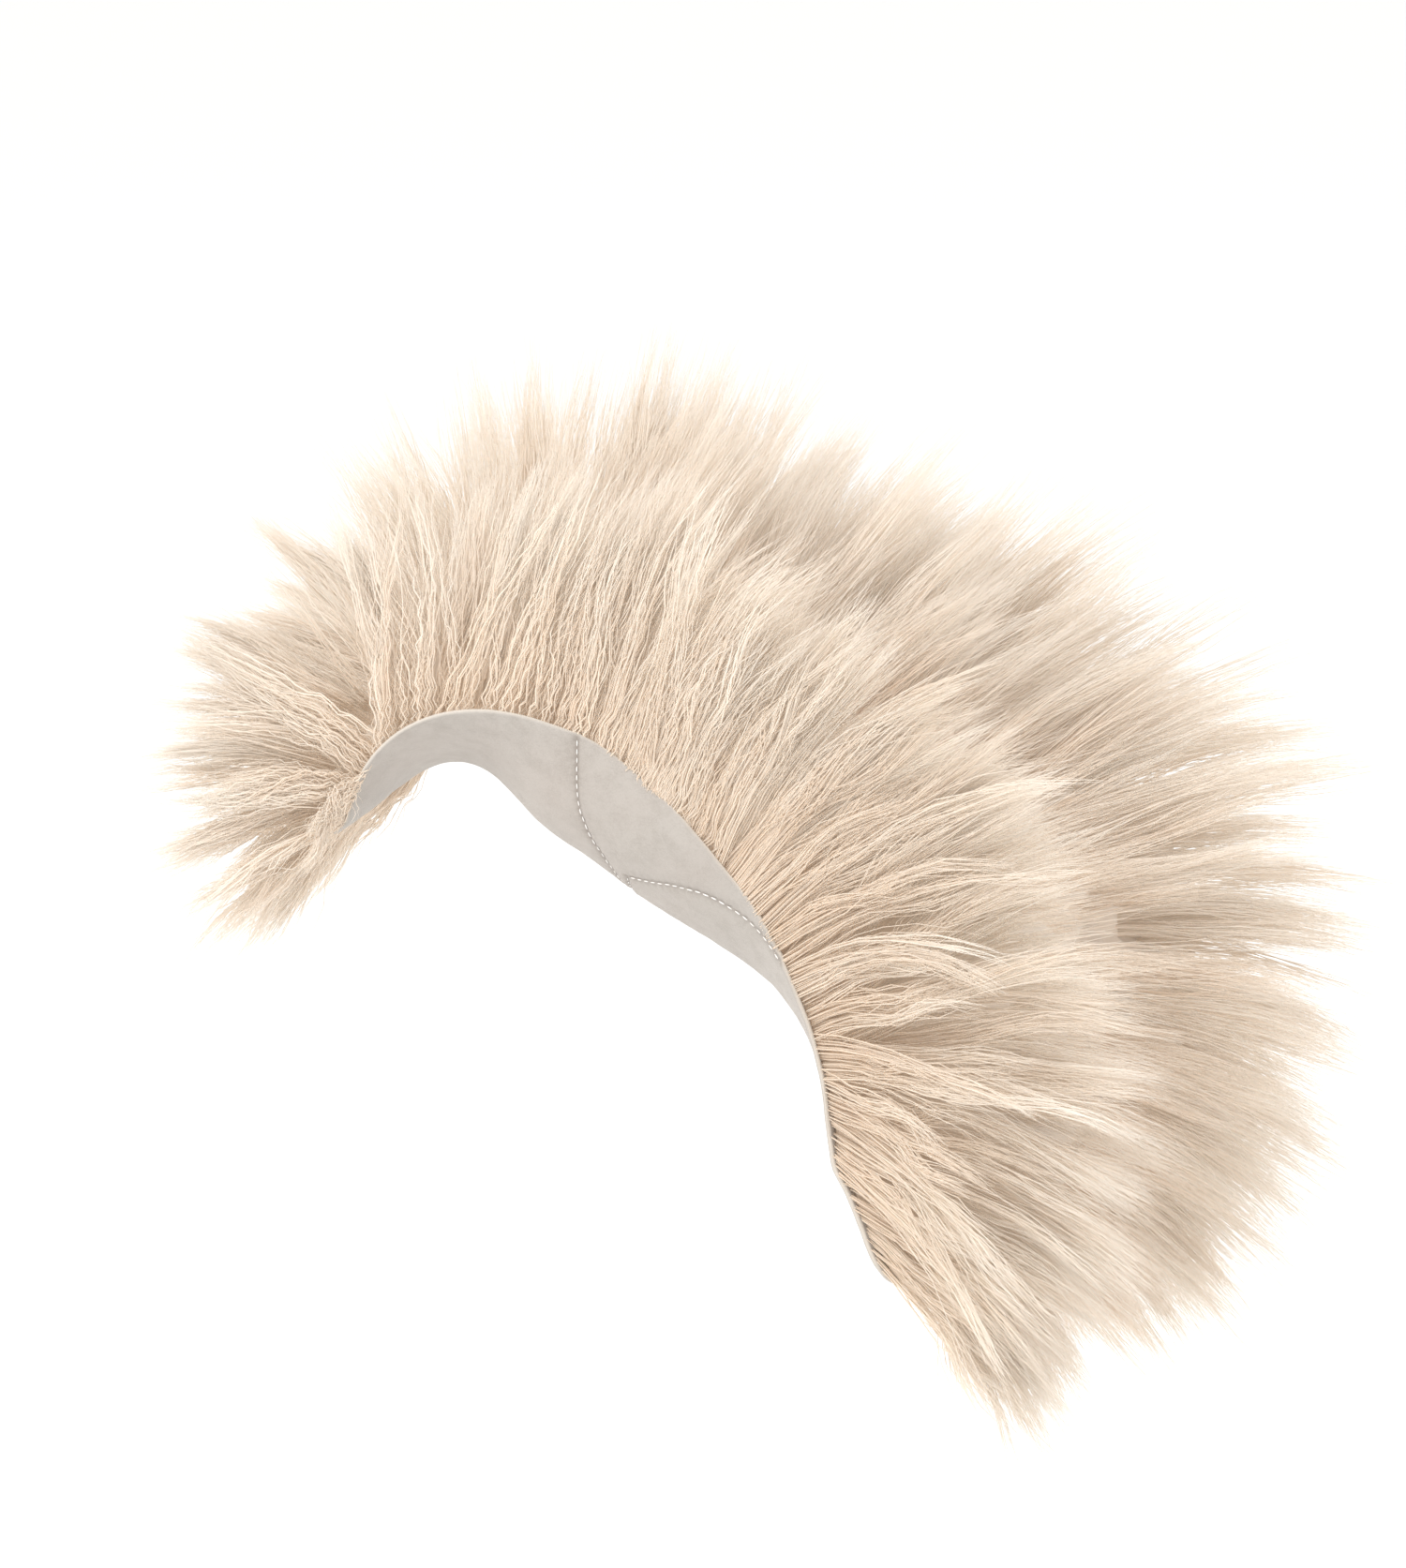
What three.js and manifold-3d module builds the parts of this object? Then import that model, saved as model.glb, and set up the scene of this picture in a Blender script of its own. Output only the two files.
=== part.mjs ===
// A long-wool sheepskin pad, held up by the middle of its front edge.
//
// The pad is a pieced hide: panels of tanned skin sewn edge to edge, suede below and long wool above.
// It is bent into an arch whose axis runs along +Y, away from the held edge. The held edge is pinched
// upward into a curled lip, so its suede faces the front. A left and a right flap hang from the arch and
// fold about it.
//
// Millimetres, +Z up, +X along the held edge, +Y towards the far edge. The origin is the grip, on the
// suede at the held edge.
//
// Every shape is laid out flat first, in three coordinates of the hide:
//   run    along the arch, from the left bend,
//   depth  over the hide, from the held edge to the far edge,
//   rise   out of the suede face, towards the wool.

import * as THREE from "three";
import { mergeVertices } from "three/addons/utils/BufferGeometryUtils.js";
import Module from "manifold-3d";

const RADIAN = Math.PI / 180;

// The flat hide.
const LEFT_END = -46;
const RIGHT_END = 326;
const HIDE_DEPTH = 300;
const HIDE_THICKNESS = 2.6;
const FRONT_CORNER = 26;
const BACK_CORNER = 84;

// The arch: the slope of its left side, its crown and its right side, at the held edge and at the far edge.
const LEFT_SLOPE = { front: 42, back: 34 };
const CROWN_SLOPE = { front: -36, back: -28 };
const RIGHT_SLOPE = { front: -66, back: -70 };
const LEFT_BEND = { from: -42, width: 84, wider: 30 };
const RIGHT_BEND = { from: 172, width: 110, sooner: 10 };

// The curled lip at the held edge.
const LIP_DEPTH = 112;
const LIP_CURL = 92;
const LIP = { from: -30, to: 262, peak: 0.33 };

// The grip, and the two lines that the flaps fold along.
const GRIP_RUN = 46;
const LEFT_FOLD = -12;
const RIGHT_FOLD = 236;

// How far each flap lifts, and how far it folds in, in degrees.
const LEFT_RANGE = { lift: 16, fold: 22 };
const RIGHT_RANGE = { lift: 18, fold: 24 };

// The wool.
const WOOL_GAP = 2.5;
const WOOL_LAYERS = 3;
const WOOL_SAG = 0.5;
const ZONE_CELLS = 6;

// Gaps and small sizes.
const SEAM_GAP = 0.5;
const ZONE_GAP = 2.8;
const FOLD_GAP = 0.6;
const GRID_CELL = 13;
const DOME_RADIUS = 400;
const DOME_HEIGHT = 600;
const THREAD_RADIUS = 0.8;
const THREAD_GAP = 0.45;
const THREAD_SIDES = 5;
const THREAD_STEP = 9;

const COLOURS = {
  suede: { color: 0xcfc8c0, roughness: 0.95, metalness: 0 },
  wool: { color: 0xeedfd0, roughness: 1, metalness: 0 },
  thread: { color: 0xf1ede6, roughness: 0.7, metalness: 0 },
};

const wasm = await Module();
wasm.setup();

// ---------------------------------------------------------------- the bent hide

function ease(value) {
  const t = Math.min(Math.max(value, 0), 1);
  return t * t * (3 - 2 * t);
}

function between(pair, t) {
  return pair.front + (pair.back - pair.front) * t;
}

// The slope of the arch in radians, where t runs from 0 at the held edge to 1 at the far edge.
function archSlope(run, t) {
  const left = between(LEFT_SLOPE, t);
  const crown = between(CROWN_SLOPE, t);
  const right = between(RIGHT_SLOPE, t);
  const overLeft = ease((run - LEFT_BEND.from) / (LEFT_BEND.width + LEFT_BEND.wider * t));
  const overRight = ease((run - RIGHT_BEND.from + RIGHT_BEND.sooner * t) / RIGHT_BEND.width);
  return (left - (left - crown) * overLeft - (crown - right) * overRight) * RADIAN;
}

// A point of the arch, measured from the left bend, by adding up short steps.
function archPoint(run, t) {
  const steps = 32;
  const step = run / steps;
  let x = -2 * t;
  let z = 8 * t;
  for (let i = 0; i < steps; i++) {
    const slope = archSlope((i + 0.5) * step, t);
    x += Math.cos(slope) * step;
    z += Math.sin(slope) * step;
  }
  return { x, z };
}

// The angle that the lip turns through at the held edge, in radians.
function lipCurl(run) {
  const along = Math.min(Math.max((run - LIP.from) / (LIP.to - LIP.from), 0), 1);
  const rising = Math.sin((Math.PI / 2) * Math.min(along / LIP.peak, 1)) ** 1.3;
  const beyond = Math.max((along - LIP.peak) / (1 - LIP.peak), 0);
  return Math.max(LIP_CURL * RADIAN * rising * (1 - beyond ** 2) ** 1.5, 1e-3);
}

// The bent hide at one point: the place on the suede, the direction out of the arch, the direction out of
// the skin, and t.
function hideFrame(run, depth) {
  const curl = lipCurl(run);
  const left = Math.min(Math.max(1 - depth / LIP_DEPTH, 0), 1);
  const bend = LIP_DEPTH / curl;
  const lift = bend * (1 - Math.cos(curl * left));
  const y = bend * (Math.sin(curl) - Math.sin(curl * left)) + Math.max(depth - LIP_DEPTH, 0);
  const t = Math.min(Math.max(y / HIDE_DEPTH, 0), 1);
  const at = archPoint(run, t);
  const slope = archSlope(run, t);
  const up = new THREE.Vector3(-Math.sin(slope), 0, Math.cos(slope));
  const out = up
    .clone()
    .multiplyScalar(Math.cos(curl * left))
    .add(new THREE.Vector3(0, Math.sin(curl * left), 0));
  const place = new THREE.Vector3(at.x, y, at.z).addScaledVector(up, lift);
  return { place, out, slope, t, tilt: curl * left };
}

const GRIP = hideFrame(GRIP_RUN, 0).place;

function onHide(run, depth, rise) {
  const { place, out } = hideFrame(run, depth);
  return place.sub(GRIP).addScaledVector(out, rise);
}

// ---------------------------------------------------------------- the wool

function woolLength(run, t) {
  const growing = 92 + 82 * ease((run - LEFT_END) / 130) - 68 * ease((run - 205) / 120);
  return growing + (26 + 26 * ease((run - 130) / 120)) * ease(t / 0.7);
}

// The direction in which the wool leaves the hide.
function woolDirection(run, depth) {
  const { slope, tilt } = hideFrame(run, depth);
  const fan =
    40 * ease(-run / 46) +
    20 * ease((run + 10) / 70) * (1 - ease((run - 50) / 130)) -
    58 * ease((run - 170) / 156);
  const angle = Math.PI / 2 + slope + fan * RADIAN;
  const forward = -0.9 * ease((8 - run) / 44) * (1 - ease(depth / 200)) * Math.cos(tilt) ** 2;
  const backward = 0.25 * Math.sin(tilt) + 0.35 * ease(depth / 300) + 0.8 * ease((depth - 210) / 90);
  return new THREE.Vector3(Math.cos(angle), forward + backward, Math.sin(angle)).normalize();
}

// A point in the wool: share runs from 0 at the skin to 1 at the tips, and the wool sags on the way.
function inWool(run, depth, share) {
  const point = onHide(run, depth, HIDE_THICKNESS + WOOL_GAP);
  const direction = woolDirection(run, depth);
  const length = woolLength(run, hideFrame(run, depth).t);
  const steps = 6;
  for (let i = 0; i < steps; i++) {
    const at = ((i + 0.5) / steps) * share;
    const sagged = direction.clone();
    sagged.z -= WOOL_SAG * at;
    point.addScaledVector(sagged.normalize(), (length * share) / steps);
  }
  return point;
}

// ---------------------------------------------------------------- solids

function solidOf(geometry) {
  const bare = geometry.clone();
  bare.deleteAttribute("normal");
  bare.deleteAttribute("uv");
  const merged = mergeVertices(bare, 1e-3);
  return new wasm.Manifold(
    new wasm.Mesh({
      numProp: 3,
      vertProperties: merged.attributes.position.array,
      triVerts: new Uint32Array(merged.index.array),
    }),
  );
}

function geometryOf(solid) {
  const mesh = solid.getMesh();
  const positions = new Float32Array(mesh.numVert * 3);
  for (let i = 0; i < mesh.numVert; i++)
    for (let axis = 0; axis < 3; axis++)
      positions[i * 3 + axis] = mesh.vertProperties[i * mesh.numProp + axis];
  return new THREE.BufferGeometry()
    .setAttribute("position", new THREE.BufferAttribute(positions, 3))
    .setIndex(new THREE.BufferAttribute(mesh.triVerts, 1));
}

// A cut merges the triangles of a flat face, and the hide needs its grid to bend. So the flat hide is domed
// before it is cut, and the dome is taken away as it is bent.
function dome(run, depth) {
  return (run ** 2 + depth ** 2) / DOME_RADIUS;
}

function moveVertices(geometry, move) {
  const position = geometry.attributes.position;
  for (let i = 0; i < position.count; i++) {
    const moved = move(position.getX(i), position.getY(i), position.getZ(i));
    position.setXYZ(i, moved.x, moved.y, moved.z);
  }
  return geometry;
}

// A closed solid over a grid of stations: at(i, j, k) gives the point at column i, row j and layer k.
function gridSolid(columns, rows, layers, at) {
  const positions = [];
  const index = [];
  const number = new Map();
  const corner = (i, j, k) => {
    const key = `${i},${j},${k}`;
    if (!number.has(key)) {
      number.set(key, positions.length / 3);
      positions.push(...at(i, j, k).toArray());
    }
    return number.get(key);
  };
  const face = (a, b, c, d) => index.push(a, b, c, a, c, d);
  for (let i = 0; i < columns; i++)
    for (let j = 0; j < rows; j++) {
      face(corner(i, j, 0), corner(i, j + 1, 0), corner(i + 1, j + 1, 0), corner(i + 1, j, 0));
      const top = layers;
      face(corner(i, j, top), corner(i + 1, j, top), corner(i + 1, j + 1, top), corner(i, j + 1, top));
    }
  for (let k = 0; k < layers; k++) {
    for (let i = 0; i < columns; i++) {
      face(corner(i, 0, k), corner(i + 1, 0, k), corner(i + 1, 0, k + 1), corner(i, 0, k + 1));
      face(corner(i + 1, rows, k), corner(i, rows, k), corner(i, rows, k + 1), corner(i + 1, rows, k + 1));
    }
    for (let j = 0; j < rows; j++) {
      face(corner(0, j + 1, k), corner(0, j, k), corner(0, j, k + 1), corner(0, j + 1, k + 1));
      face(corner(columns, j, k), corner(columns, j + 1, k), corner(columns, j + 1, k + 1), corner(columns, j, k + 1));
    }
  }
  const geometry = new THREE.BufferGeometry();
  geometry.setAttribute("position", new THREE.BufferAttribute(new Float32Array(positions), 3));
  geometry.setIndex(index);
  return geometry;
}

// ---------------------------------------------------------------- the folds

// A fold's hinge: it runs through the suede a little behind the held edge and a little before the far edge.
function foldAxis(run) {
  const near = onHide(run, 70, HIDE_THICKNESS / 2);
  const far = onHide(run, 270, HIDE_THICKNESS / 2);
  return { point: near, along: far.clone().sub(near).normalize() };
}

// A box with one face on the plane through a point, filling the side that the normal points away from.
function sideOfPlane(point, normal, along) {
  const size = 1600;
  const box = new THREE.BoxGeometry(size, size, size);
  box.translate(-size / 2, 0, 0);
  const across = new THREE.Vector3().crossVectors(normal, along);
  box.applyMatrix4(new THREE.Matrix4().makeBasis(normal, along, across));
  box.translate(point.x, point.y, point.z);
  return solidOf(box);
}

// The room on one side of a fold, cut back by half of the lift above the hinge and of the fold below it.
function roomBeside(run, range, side) {
  const { point, along } = foldAxis(run);
  const up = woolDirection(run, HIDE_DEPTH / 2);
  const normal = new THREE.Vector3().crossVectors(along, up).normalize().multiplyScalar(-side);
  const start = point.clone().addScaledVector(normal, -FOLD_GAP);
  const rooms = [range.lift, -range.fold].map((angle) => {
    const half = (side * angle * RADIAN) / 2;
    return sideOfPlane(start, normal.clone().applyAxisAngle(along, half), along);
  });
  return rooms[0].intersect(rooms[1]);
}

const FOLDS = {
  leftOfLeft: roomBeside(LEFT_FOLD, LEFT_RANGE, -1),
  rightOfLeft: roomBeside(LEFT_FOLD, LEFT_RANGE, 1),
  leftOfRight: roomBeside(RIGHT_FOLD, RIGHT_RANGE, -1),
  rightOfRight: roomBeside(RIGHT_FOLD, RIGHT_RANGE, 1),
};
const ROOMS = {
  left: [FOLDS.leftOfLeft],
  centre: [FOLDS.rightOfLeft, FOLDS.leftOfRight],
  right: [FOLDS.rightOfRight],
};

function trimmed(solid, body) {
  return ROOMS[body].reduce((made, room) => made.intersect(room), solid);
}

// ---------------------------------------------------------------- the hide panels

const THUMB_SEAM = [[47, 0], [63, 28], [76, 44], [92, 60], [104, 80], [110, 92]];
const CORNER_SEAM = [[102, 57], [106, 74], [110, 92]];
const RIM_SEAM = [[102, 57], [122, 33], [138, 19], [160, 8], [181, 0]];
const SPINE_SEAM = [[110, 92], [112, 132]];
const BACK_SPINE_SEAM = [[112, 132], [104, 222], [103, 234], [98, HIDE_DEPTH]];
const LEFT_CROSS_SEAM = [[LEFT_FOLD, 140], [50, 144], [112, 132]];
const RIGHT_CROSS_SEAM = [[112, 132], [170, 122], [RIGHT_FOLD, 128]];
const LEFT_REAR_SEAM = [[LEFT_FOLD, 226], [104, 222]];
const RIGHT_REAR_SEAM = [[103, 234], [RIGHT_FOLD, 238]];
const LEFT_FLAP_SEAM = [[LEFT_END, 146], [LEFT_FOLD, 140]];
const RIGHT_FLAP_SEAM = [[RIGHT_FOLD, 128], [RIGHT_END, 152]];

function back(line) {
  return [...line].reverse();
}

// Each panel's outline is given anticlockwise in run and depth. It may go past the hide's own outline.
const PANELS = [
  {
    name: "hide_panel_thumb",
    body: "centre",
    outline: [[LEFT_FOLD, 0], ...THUMB_SEAM, [112, 132], ...back(LEFT_CROSS_SEAM).slice(1)],
  },
  {
    name: "hide_panel_rim",
    body: "centre",
    outline: [...back(RIM_SEAM), ...CORNER_SEAM.slice(1), ...back(THUMB_SEAM).slice(1)],
  },
  {
    name: "hide_panel_front_right",
    body: "centre",
    outline: [
      [181, 0],
      [RIGHT_FOLD, 0],
      ...back(RIGHT_CROSS_SEAM),
      ...back(CORNER_SEAM),
      ...RIM_SEAM.slice(1, -1),
    ],
  },
  {
    name: "hide_panel_middle_left",
    body: "centre",
    outline: [...LEFT_CROSS_SEAM, ...back(LEFT_REAR_SEAM)],
  },
  {
    name: "hide_panel_middle_right",
    body: "centre",
    outline: [...RIGHT_CROSS_SEAM, ...back(RIGHT_REAR_SEAM), [104, 222]],
  },
  {
    name: "hide_panel_rear_left",
    body: "centre",
    outline: [...LEFT_REAR_SEAM, [103, 234], [98, HIDE_DEPTH], [LEFT_FOLD, HIDE_DEPTH]],
  },
  {
    name: "hide_panel_rear_right",
    body: "centre",
    outline: [...RIGHT_REAR_SEAM, [RIGHT_FOLD, HIDE_DEPTH], [98, HIDE_DEPTH]],
  },
  {
    name: "hide_panel_left_flap_front",
    body: "left",
    outline: [[LEFT_END, 0], [LEFT_FOLD, 0], ...back(LEFT_FLAP_SEAM)],
  },
  {
    name: "hide_panel_left_flap_rear",
    body: "left",
    outline: [...LEFT_FLAP_SEAM, [LEFT_FOLD, HIDE_DEPTH], [LEFT_END, HIDE_DEPTH]],
  },
  {
    name: "hide_panel_right_flap_front",
    body: "right",
    outline: [[RIGHT_FOLD, 0], [RIGHT_END, 0], ...back(RIGHT_FLAP_SEAM)],
  },
  {
    name: "hide_panel_right_flap_rear",
    body: "right",
    outline: [...RIGHT_FLAP_SEAM, [RIGHT_END, HIDE_DEPTH], [RIGHT_FOLD, HIDE_DEPTH]],
  },
];

// The outline moved inwards by a distance, corner by corner.
function inset(outline, distance) {
  const points = outline.map(([run, depth]) => new THREE.Vector2(run, depth));
  return points.map((point, i) => {
    const before = point.clone().sub(points.at(i - 1)).normalize();
    const after = points[(i + 1) % points.length].clone().sub(point).normalize();
    const inward = new THREE.Vector2(-before.y - after.y, before.x + after.x).normalize();
    const share = inward.dot(new THREE.Vector2(-before.y, before.x));
    return point.clone().addScaledVector(inward, distance / Math.max(share, 0.3));
  });
}

function prism(shape) {
  const geometry = new THREE.ExtrudeGeometry(shape, {
    depth: DOME_HEIGHT,
    bevelEnabled: false,
    curveSegments: 8,
  });
  geometry.translate(0, 0, -1);
  return solidOf(geometry);
}

// The whole flat hide, with its four round corners, cut from a slab that is fine enough to bend.
function flatHide() {
  const width = RIGHT_END - LEFT_END;
  const slab = new THREE.BoxGeometry(
    width + 2,
    HIDE_DEPTH + 2,
    HIDE_THICKNESS,
    Math.round(width / GRID_CELL),
    Math.round(HIDE_DEPTH / GRID_CELL),
    1,
  );
  slab.translate(LEFT_END + width / 2, HIDE_DEPTH / 2, HIDE_THICKNESS / 2);
  const outline = new THREE.Shape();
  outline.absarc(LEFT_END + FRONT_CORNER, FRONT_CORNER, FRONT_CORNER, Math.PI, 1.5 * Math.PI);
  outline.absarc(RIGHT_END - FRONT_CORNER, FRONT_CORNER, FRONT_CORNER, 1.5 * Math.PI, 2 * Math.PI);
  outline.absarc(RIGHT_END - BACK_CORNER, HIDE_DEPTH - BACK_CORNER, BACK_CORNER, 0, 0.5 * Math.PI);
  outline.absarc(LEFT_END + BACK_CORNER, HIDE_DEPTH - BACK_CORNER, BACK_CORNER, 0.5 * Math.PI, Math.PI);
  moveVertices(slab, (x, y, z) => new THREE.Vector3(x, y, z + dome(x, y)));
  return solidOf(slab).intersect(prism(outline));
}

function hidePanels() {
  const hide = flatHide();
  return PANELS.map(({ name, body, outline }) => {
    const cut = geometryOf(hide.intersect(prism(new THREE.Shape(inset(outline, SEAM_GAP / 2)))));
    const bent = moveVertices(cut, (x, y, z) => onHide(x, y, z - dome(x, y)));
    return meshOf(name, geometryOf(trimmed(solidOf(bent), body)), "suede");
  });
}

// ---------------------------------------------------------------- the wool zones

const RUN_LINES = [LEFT_END, LEFT_FOLD, 70, 152, RIGHT_FOLD, RIGHT_END];
const DEPTH_LINES = [0, 100, 200, HIDE_DEPTH];
const RUN_NAMES = ["left_flap", "thumb_side", "crown", "shoulder", "right_flap"];
const DEPTH_NAMES = ["front", "middle", "rear"];
const RUN_BODIES = ["left", "centre", "centre", "centre", "right"];
const FOLD_OVERLAP = 8;

// The wool on one field of the hide, drawn in at the hide's round corners.
function woolZone(runFrom, runTo, depthFrom, depthTo) {
  const lerp = THREE.MathUtils.lerp;
  return gridSolid(ZONE_CELLS, ZONE_CELLS, WOOL_LAYERS, (i, j, k) => {
    const run = lerp(runFrom, runTo, i / ZONE_CELLS);
    const nearEnd = Math.min(run - LEFT_END, RIGHT_END - run);
    const shy = Math.max(BACK_CORNER - nearEnd, 0);
    const edge = HIDE_DEPTH - BACK_CORNER + Math.sqrt(BACK_CORNER ** 2 - shy ** 2);
    const depth = lerp(depthFrom, depthTo, j / ZONE_CELLS) * (edge / HIDE_DEPTH);
    return inWool(run, depth, k / WOOL_LAYERS);
  });
}

function woolZones() {
  const half = ZONE_GAP / 2;
  const made = [];
  RUN_NAMES.forEach((runName, i) => {
    DEPTH_NAMES.forEach((depthName, j) => {
      const body = RUN_BODIES[i];
      const pastLeft = i > 0 && RUN_BODIES[i - 1] !== body;
      const pastRight = i + 1 < RUN_BODIES.length && RUN_BODIES[i + 1] !== body;
      const zone = woolZone(
        RUN_LINES[i] + (pastLeft ? -FOLD_OVERLAP : half),
        RUN_LINES[i + 1] + (pastRight ? FOLD_OVERLAP : -half),
        DEPTH_LINES[j] + half,
        DEPTH_LINES[j + 1] - half,
      );
      const solid = trimmed(solidOf(zone), body);
      made.push(meshOf(`wool_${runName}_${depthName}`, geometryOf(solid), "wool"));
    });
  });
  return made;
}

// ---------------------------------------------------------------- the seam threads

const THREADS = [
  { name: "seam_thread_thumb", line: THUMB_SEAM },
  { name: "seam_thread_corner", line: CORNER_SEAM.slice(0, 2) },
  { name: "seam_thread_rim", line: RIM_SEAM },
  { name: "seam_thread_spine", line: SPINE_SEAM },
  { name: "seam_thread_back_spine", line: BACK_SPINE_SEAM },
  { name: "seam_thread_left_cross", line: LEFT_CROSS_SEAM },
  { name: "seam_thread_right_cross", line: RIGHT_CROSS_SEAM },
  { name: "seam_thread_left_rear", line: LEFT_REAR_SEAM },
  { name: "seam_thread_right_rear", line: RIGHT_REAR_SEAM },
  { name: "seam_thread_left_flap", line: LEFT_FLAP_SEAM },
  { name: "seam_thread_right_flap", line: RIGHT_FLAP_SEAM },
];
const THREAD_END = 6;

// One thread, lying on the suede along its seam, and stopping short of the crossing seams.
function seamThread(line) {
  const flat = new THREE.CatmullRomCurve3(line.map(([run, depth]) => new THREE.Vector3(run, depth, 0)));
  const length = flat.getLength();
  const steps = Math.max(3, Math.round(length / THREAD_STEP));
  const points = [];
  for (let i = 0; i <= steps; i++) {
    const at = THREE.MathUtils.lerp(THREAD_END / length, 1 - THREAD_END / length, i / steps);
    const { x, y } = flat.getPointAt(at);
    points.push(onHide(x, y, -THREAD_RADIUS - THREAD_GAP));
  }
  const round = new THREE.Shape();
  round.absarc(0, 0, THREAD_RADIUS, 0, 2 * Math.PI);
  return new THREE.ExtrudeGeometry(round, {
    extrudePath: new THREE.CatmullRomCurve3(points),
    steps,
    curveSegments: THREAD_SIDES,
  });
}

// ---------------------------------------------------------------- the assembly

function meshOf(name, geometry, finish) {
  const mesh = new THREE.Mesh(geometry, new THREE.MeshStandardMaterial(COLOURS[finish]));
  mesh.name = name;
  return mesh;
}

const pad = new THREE.Group();
pad.add(...hidePanels());
pad.add(...woolZones());
pad.add(...THREADS.map(({ name, line }) => meshOf(name, seamThread(line), "thread")));

export default pad;
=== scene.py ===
"""A long-wool sheepskin pad, held up by the middle of its front edge and bent over the grip as an arch.

The hide is pieced from eleven suede panels that are sewn edge to edge, with long cream wool on the other
side. Every shape is laid out on the flat hide first, in millimetres: run goes along the arch, depth from the
held edge to the far edge, and rise out of the suede face towards the wool. BentHide turns these into places.
"""

from __future__ import annotations

import logging
import math
from dataclasses import dataclass, field
from enum import Enum
from functools import cached_property

import bpy
import numpy as np
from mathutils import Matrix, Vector
from mathutils.geometry import delaunay_2d_cdt

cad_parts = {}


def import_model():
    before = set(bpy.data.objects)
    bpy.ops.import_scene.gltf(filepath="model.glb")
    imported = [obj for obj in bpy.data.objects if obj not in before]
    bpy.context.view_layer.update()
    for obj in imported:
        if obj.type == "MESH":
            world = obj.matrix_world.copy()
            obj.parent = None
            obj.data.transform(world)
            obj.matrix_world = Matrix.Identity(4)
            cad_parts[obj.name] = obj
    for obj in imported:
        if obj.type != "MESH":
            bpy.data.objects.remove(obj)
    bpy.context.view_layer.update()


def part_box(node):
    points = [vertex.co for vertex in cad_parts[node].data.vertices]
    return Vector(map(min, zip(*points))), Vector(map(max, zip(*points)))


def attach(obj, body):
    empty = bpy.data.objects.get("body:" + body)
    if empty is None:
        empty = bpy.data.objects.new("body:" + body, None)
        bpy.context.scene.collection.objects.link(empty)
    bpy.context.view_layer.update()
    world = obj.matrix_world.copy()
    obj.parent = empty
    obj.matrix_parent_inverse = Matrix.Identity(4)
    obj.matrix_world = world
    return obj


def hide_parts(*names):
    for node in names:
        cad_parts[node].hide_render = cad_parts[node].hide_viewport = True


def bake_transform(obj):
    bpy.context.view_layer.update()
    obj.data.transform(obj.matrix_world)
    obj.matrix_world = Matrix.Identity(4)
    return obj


LOG = logging.getLogger("sheepskin")
MM = 0.001
ROW_SHARE = 0.87  # the distance between staggered rows, as a share of the gap within a row
Array = np.ndarray
Colour = tuple[float, float, float]
Point2 = tuple[float, float]


class Body(Enum):
    """The three moving bodies of the pad."""

    CENTRE = "centre"
    LEFT = "left_flap"
    RIGHT = "right_flap"


class Slot(Enum):
    """The material slots of the frame."""

    SUEDE = "suede"
    WOOL = "wool"
    THREAD = "thread"


# ---------------------------------------------------------------- the bent hide


def ease(value: Array | float) -> Array:
    """Rises softly from 0 to 1 while value goes from 0 to 1."""
    t = np.clip(value, 0.0, 1.0)
    return t * t * (3.0 - 2.0 * t)


def lengths(vectors: Array) -> Array:
    """The length of each vector, kept as a last axis of one."""
    return np.linalg.norm(vectors, axis=-1, keepdims=True)


def unit(vectors: Array) -> Array:
    """The vectors, each scaled to length 1."""
    return vectors / np.maximum(lengths(vectors), 1e-9)


@dataclass(frozen=True)
class Swing:
    """A change that sets in along the hide and may fade again further on.

    A negative width sets in towards lower places.
    """

    amount: float
    start: float
    width: float
    end: float = math.inf
    fade: float = 1.0

    def at(self, place: Array) -> Array:
        """The change at places along the hide."""
        rising = ease((place - self.start) / self.width)
        return self.amount * rising * (1.0 - ease((place - self.end) / self.fade))


@dataclass(frozen=True)
class Placement:
    """Where points of the flat hide lie once it is bent.

    place is the point, out leaves the hide there, slope is the arch's slope in radians, t goes from 0 at the
    held edge to 1 at the far edge, and tilt is the angle that the lip turns out by.
    """

    place: Array
    out: Array
    slope: Array
    t: Array
    tilt: Array


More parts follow.
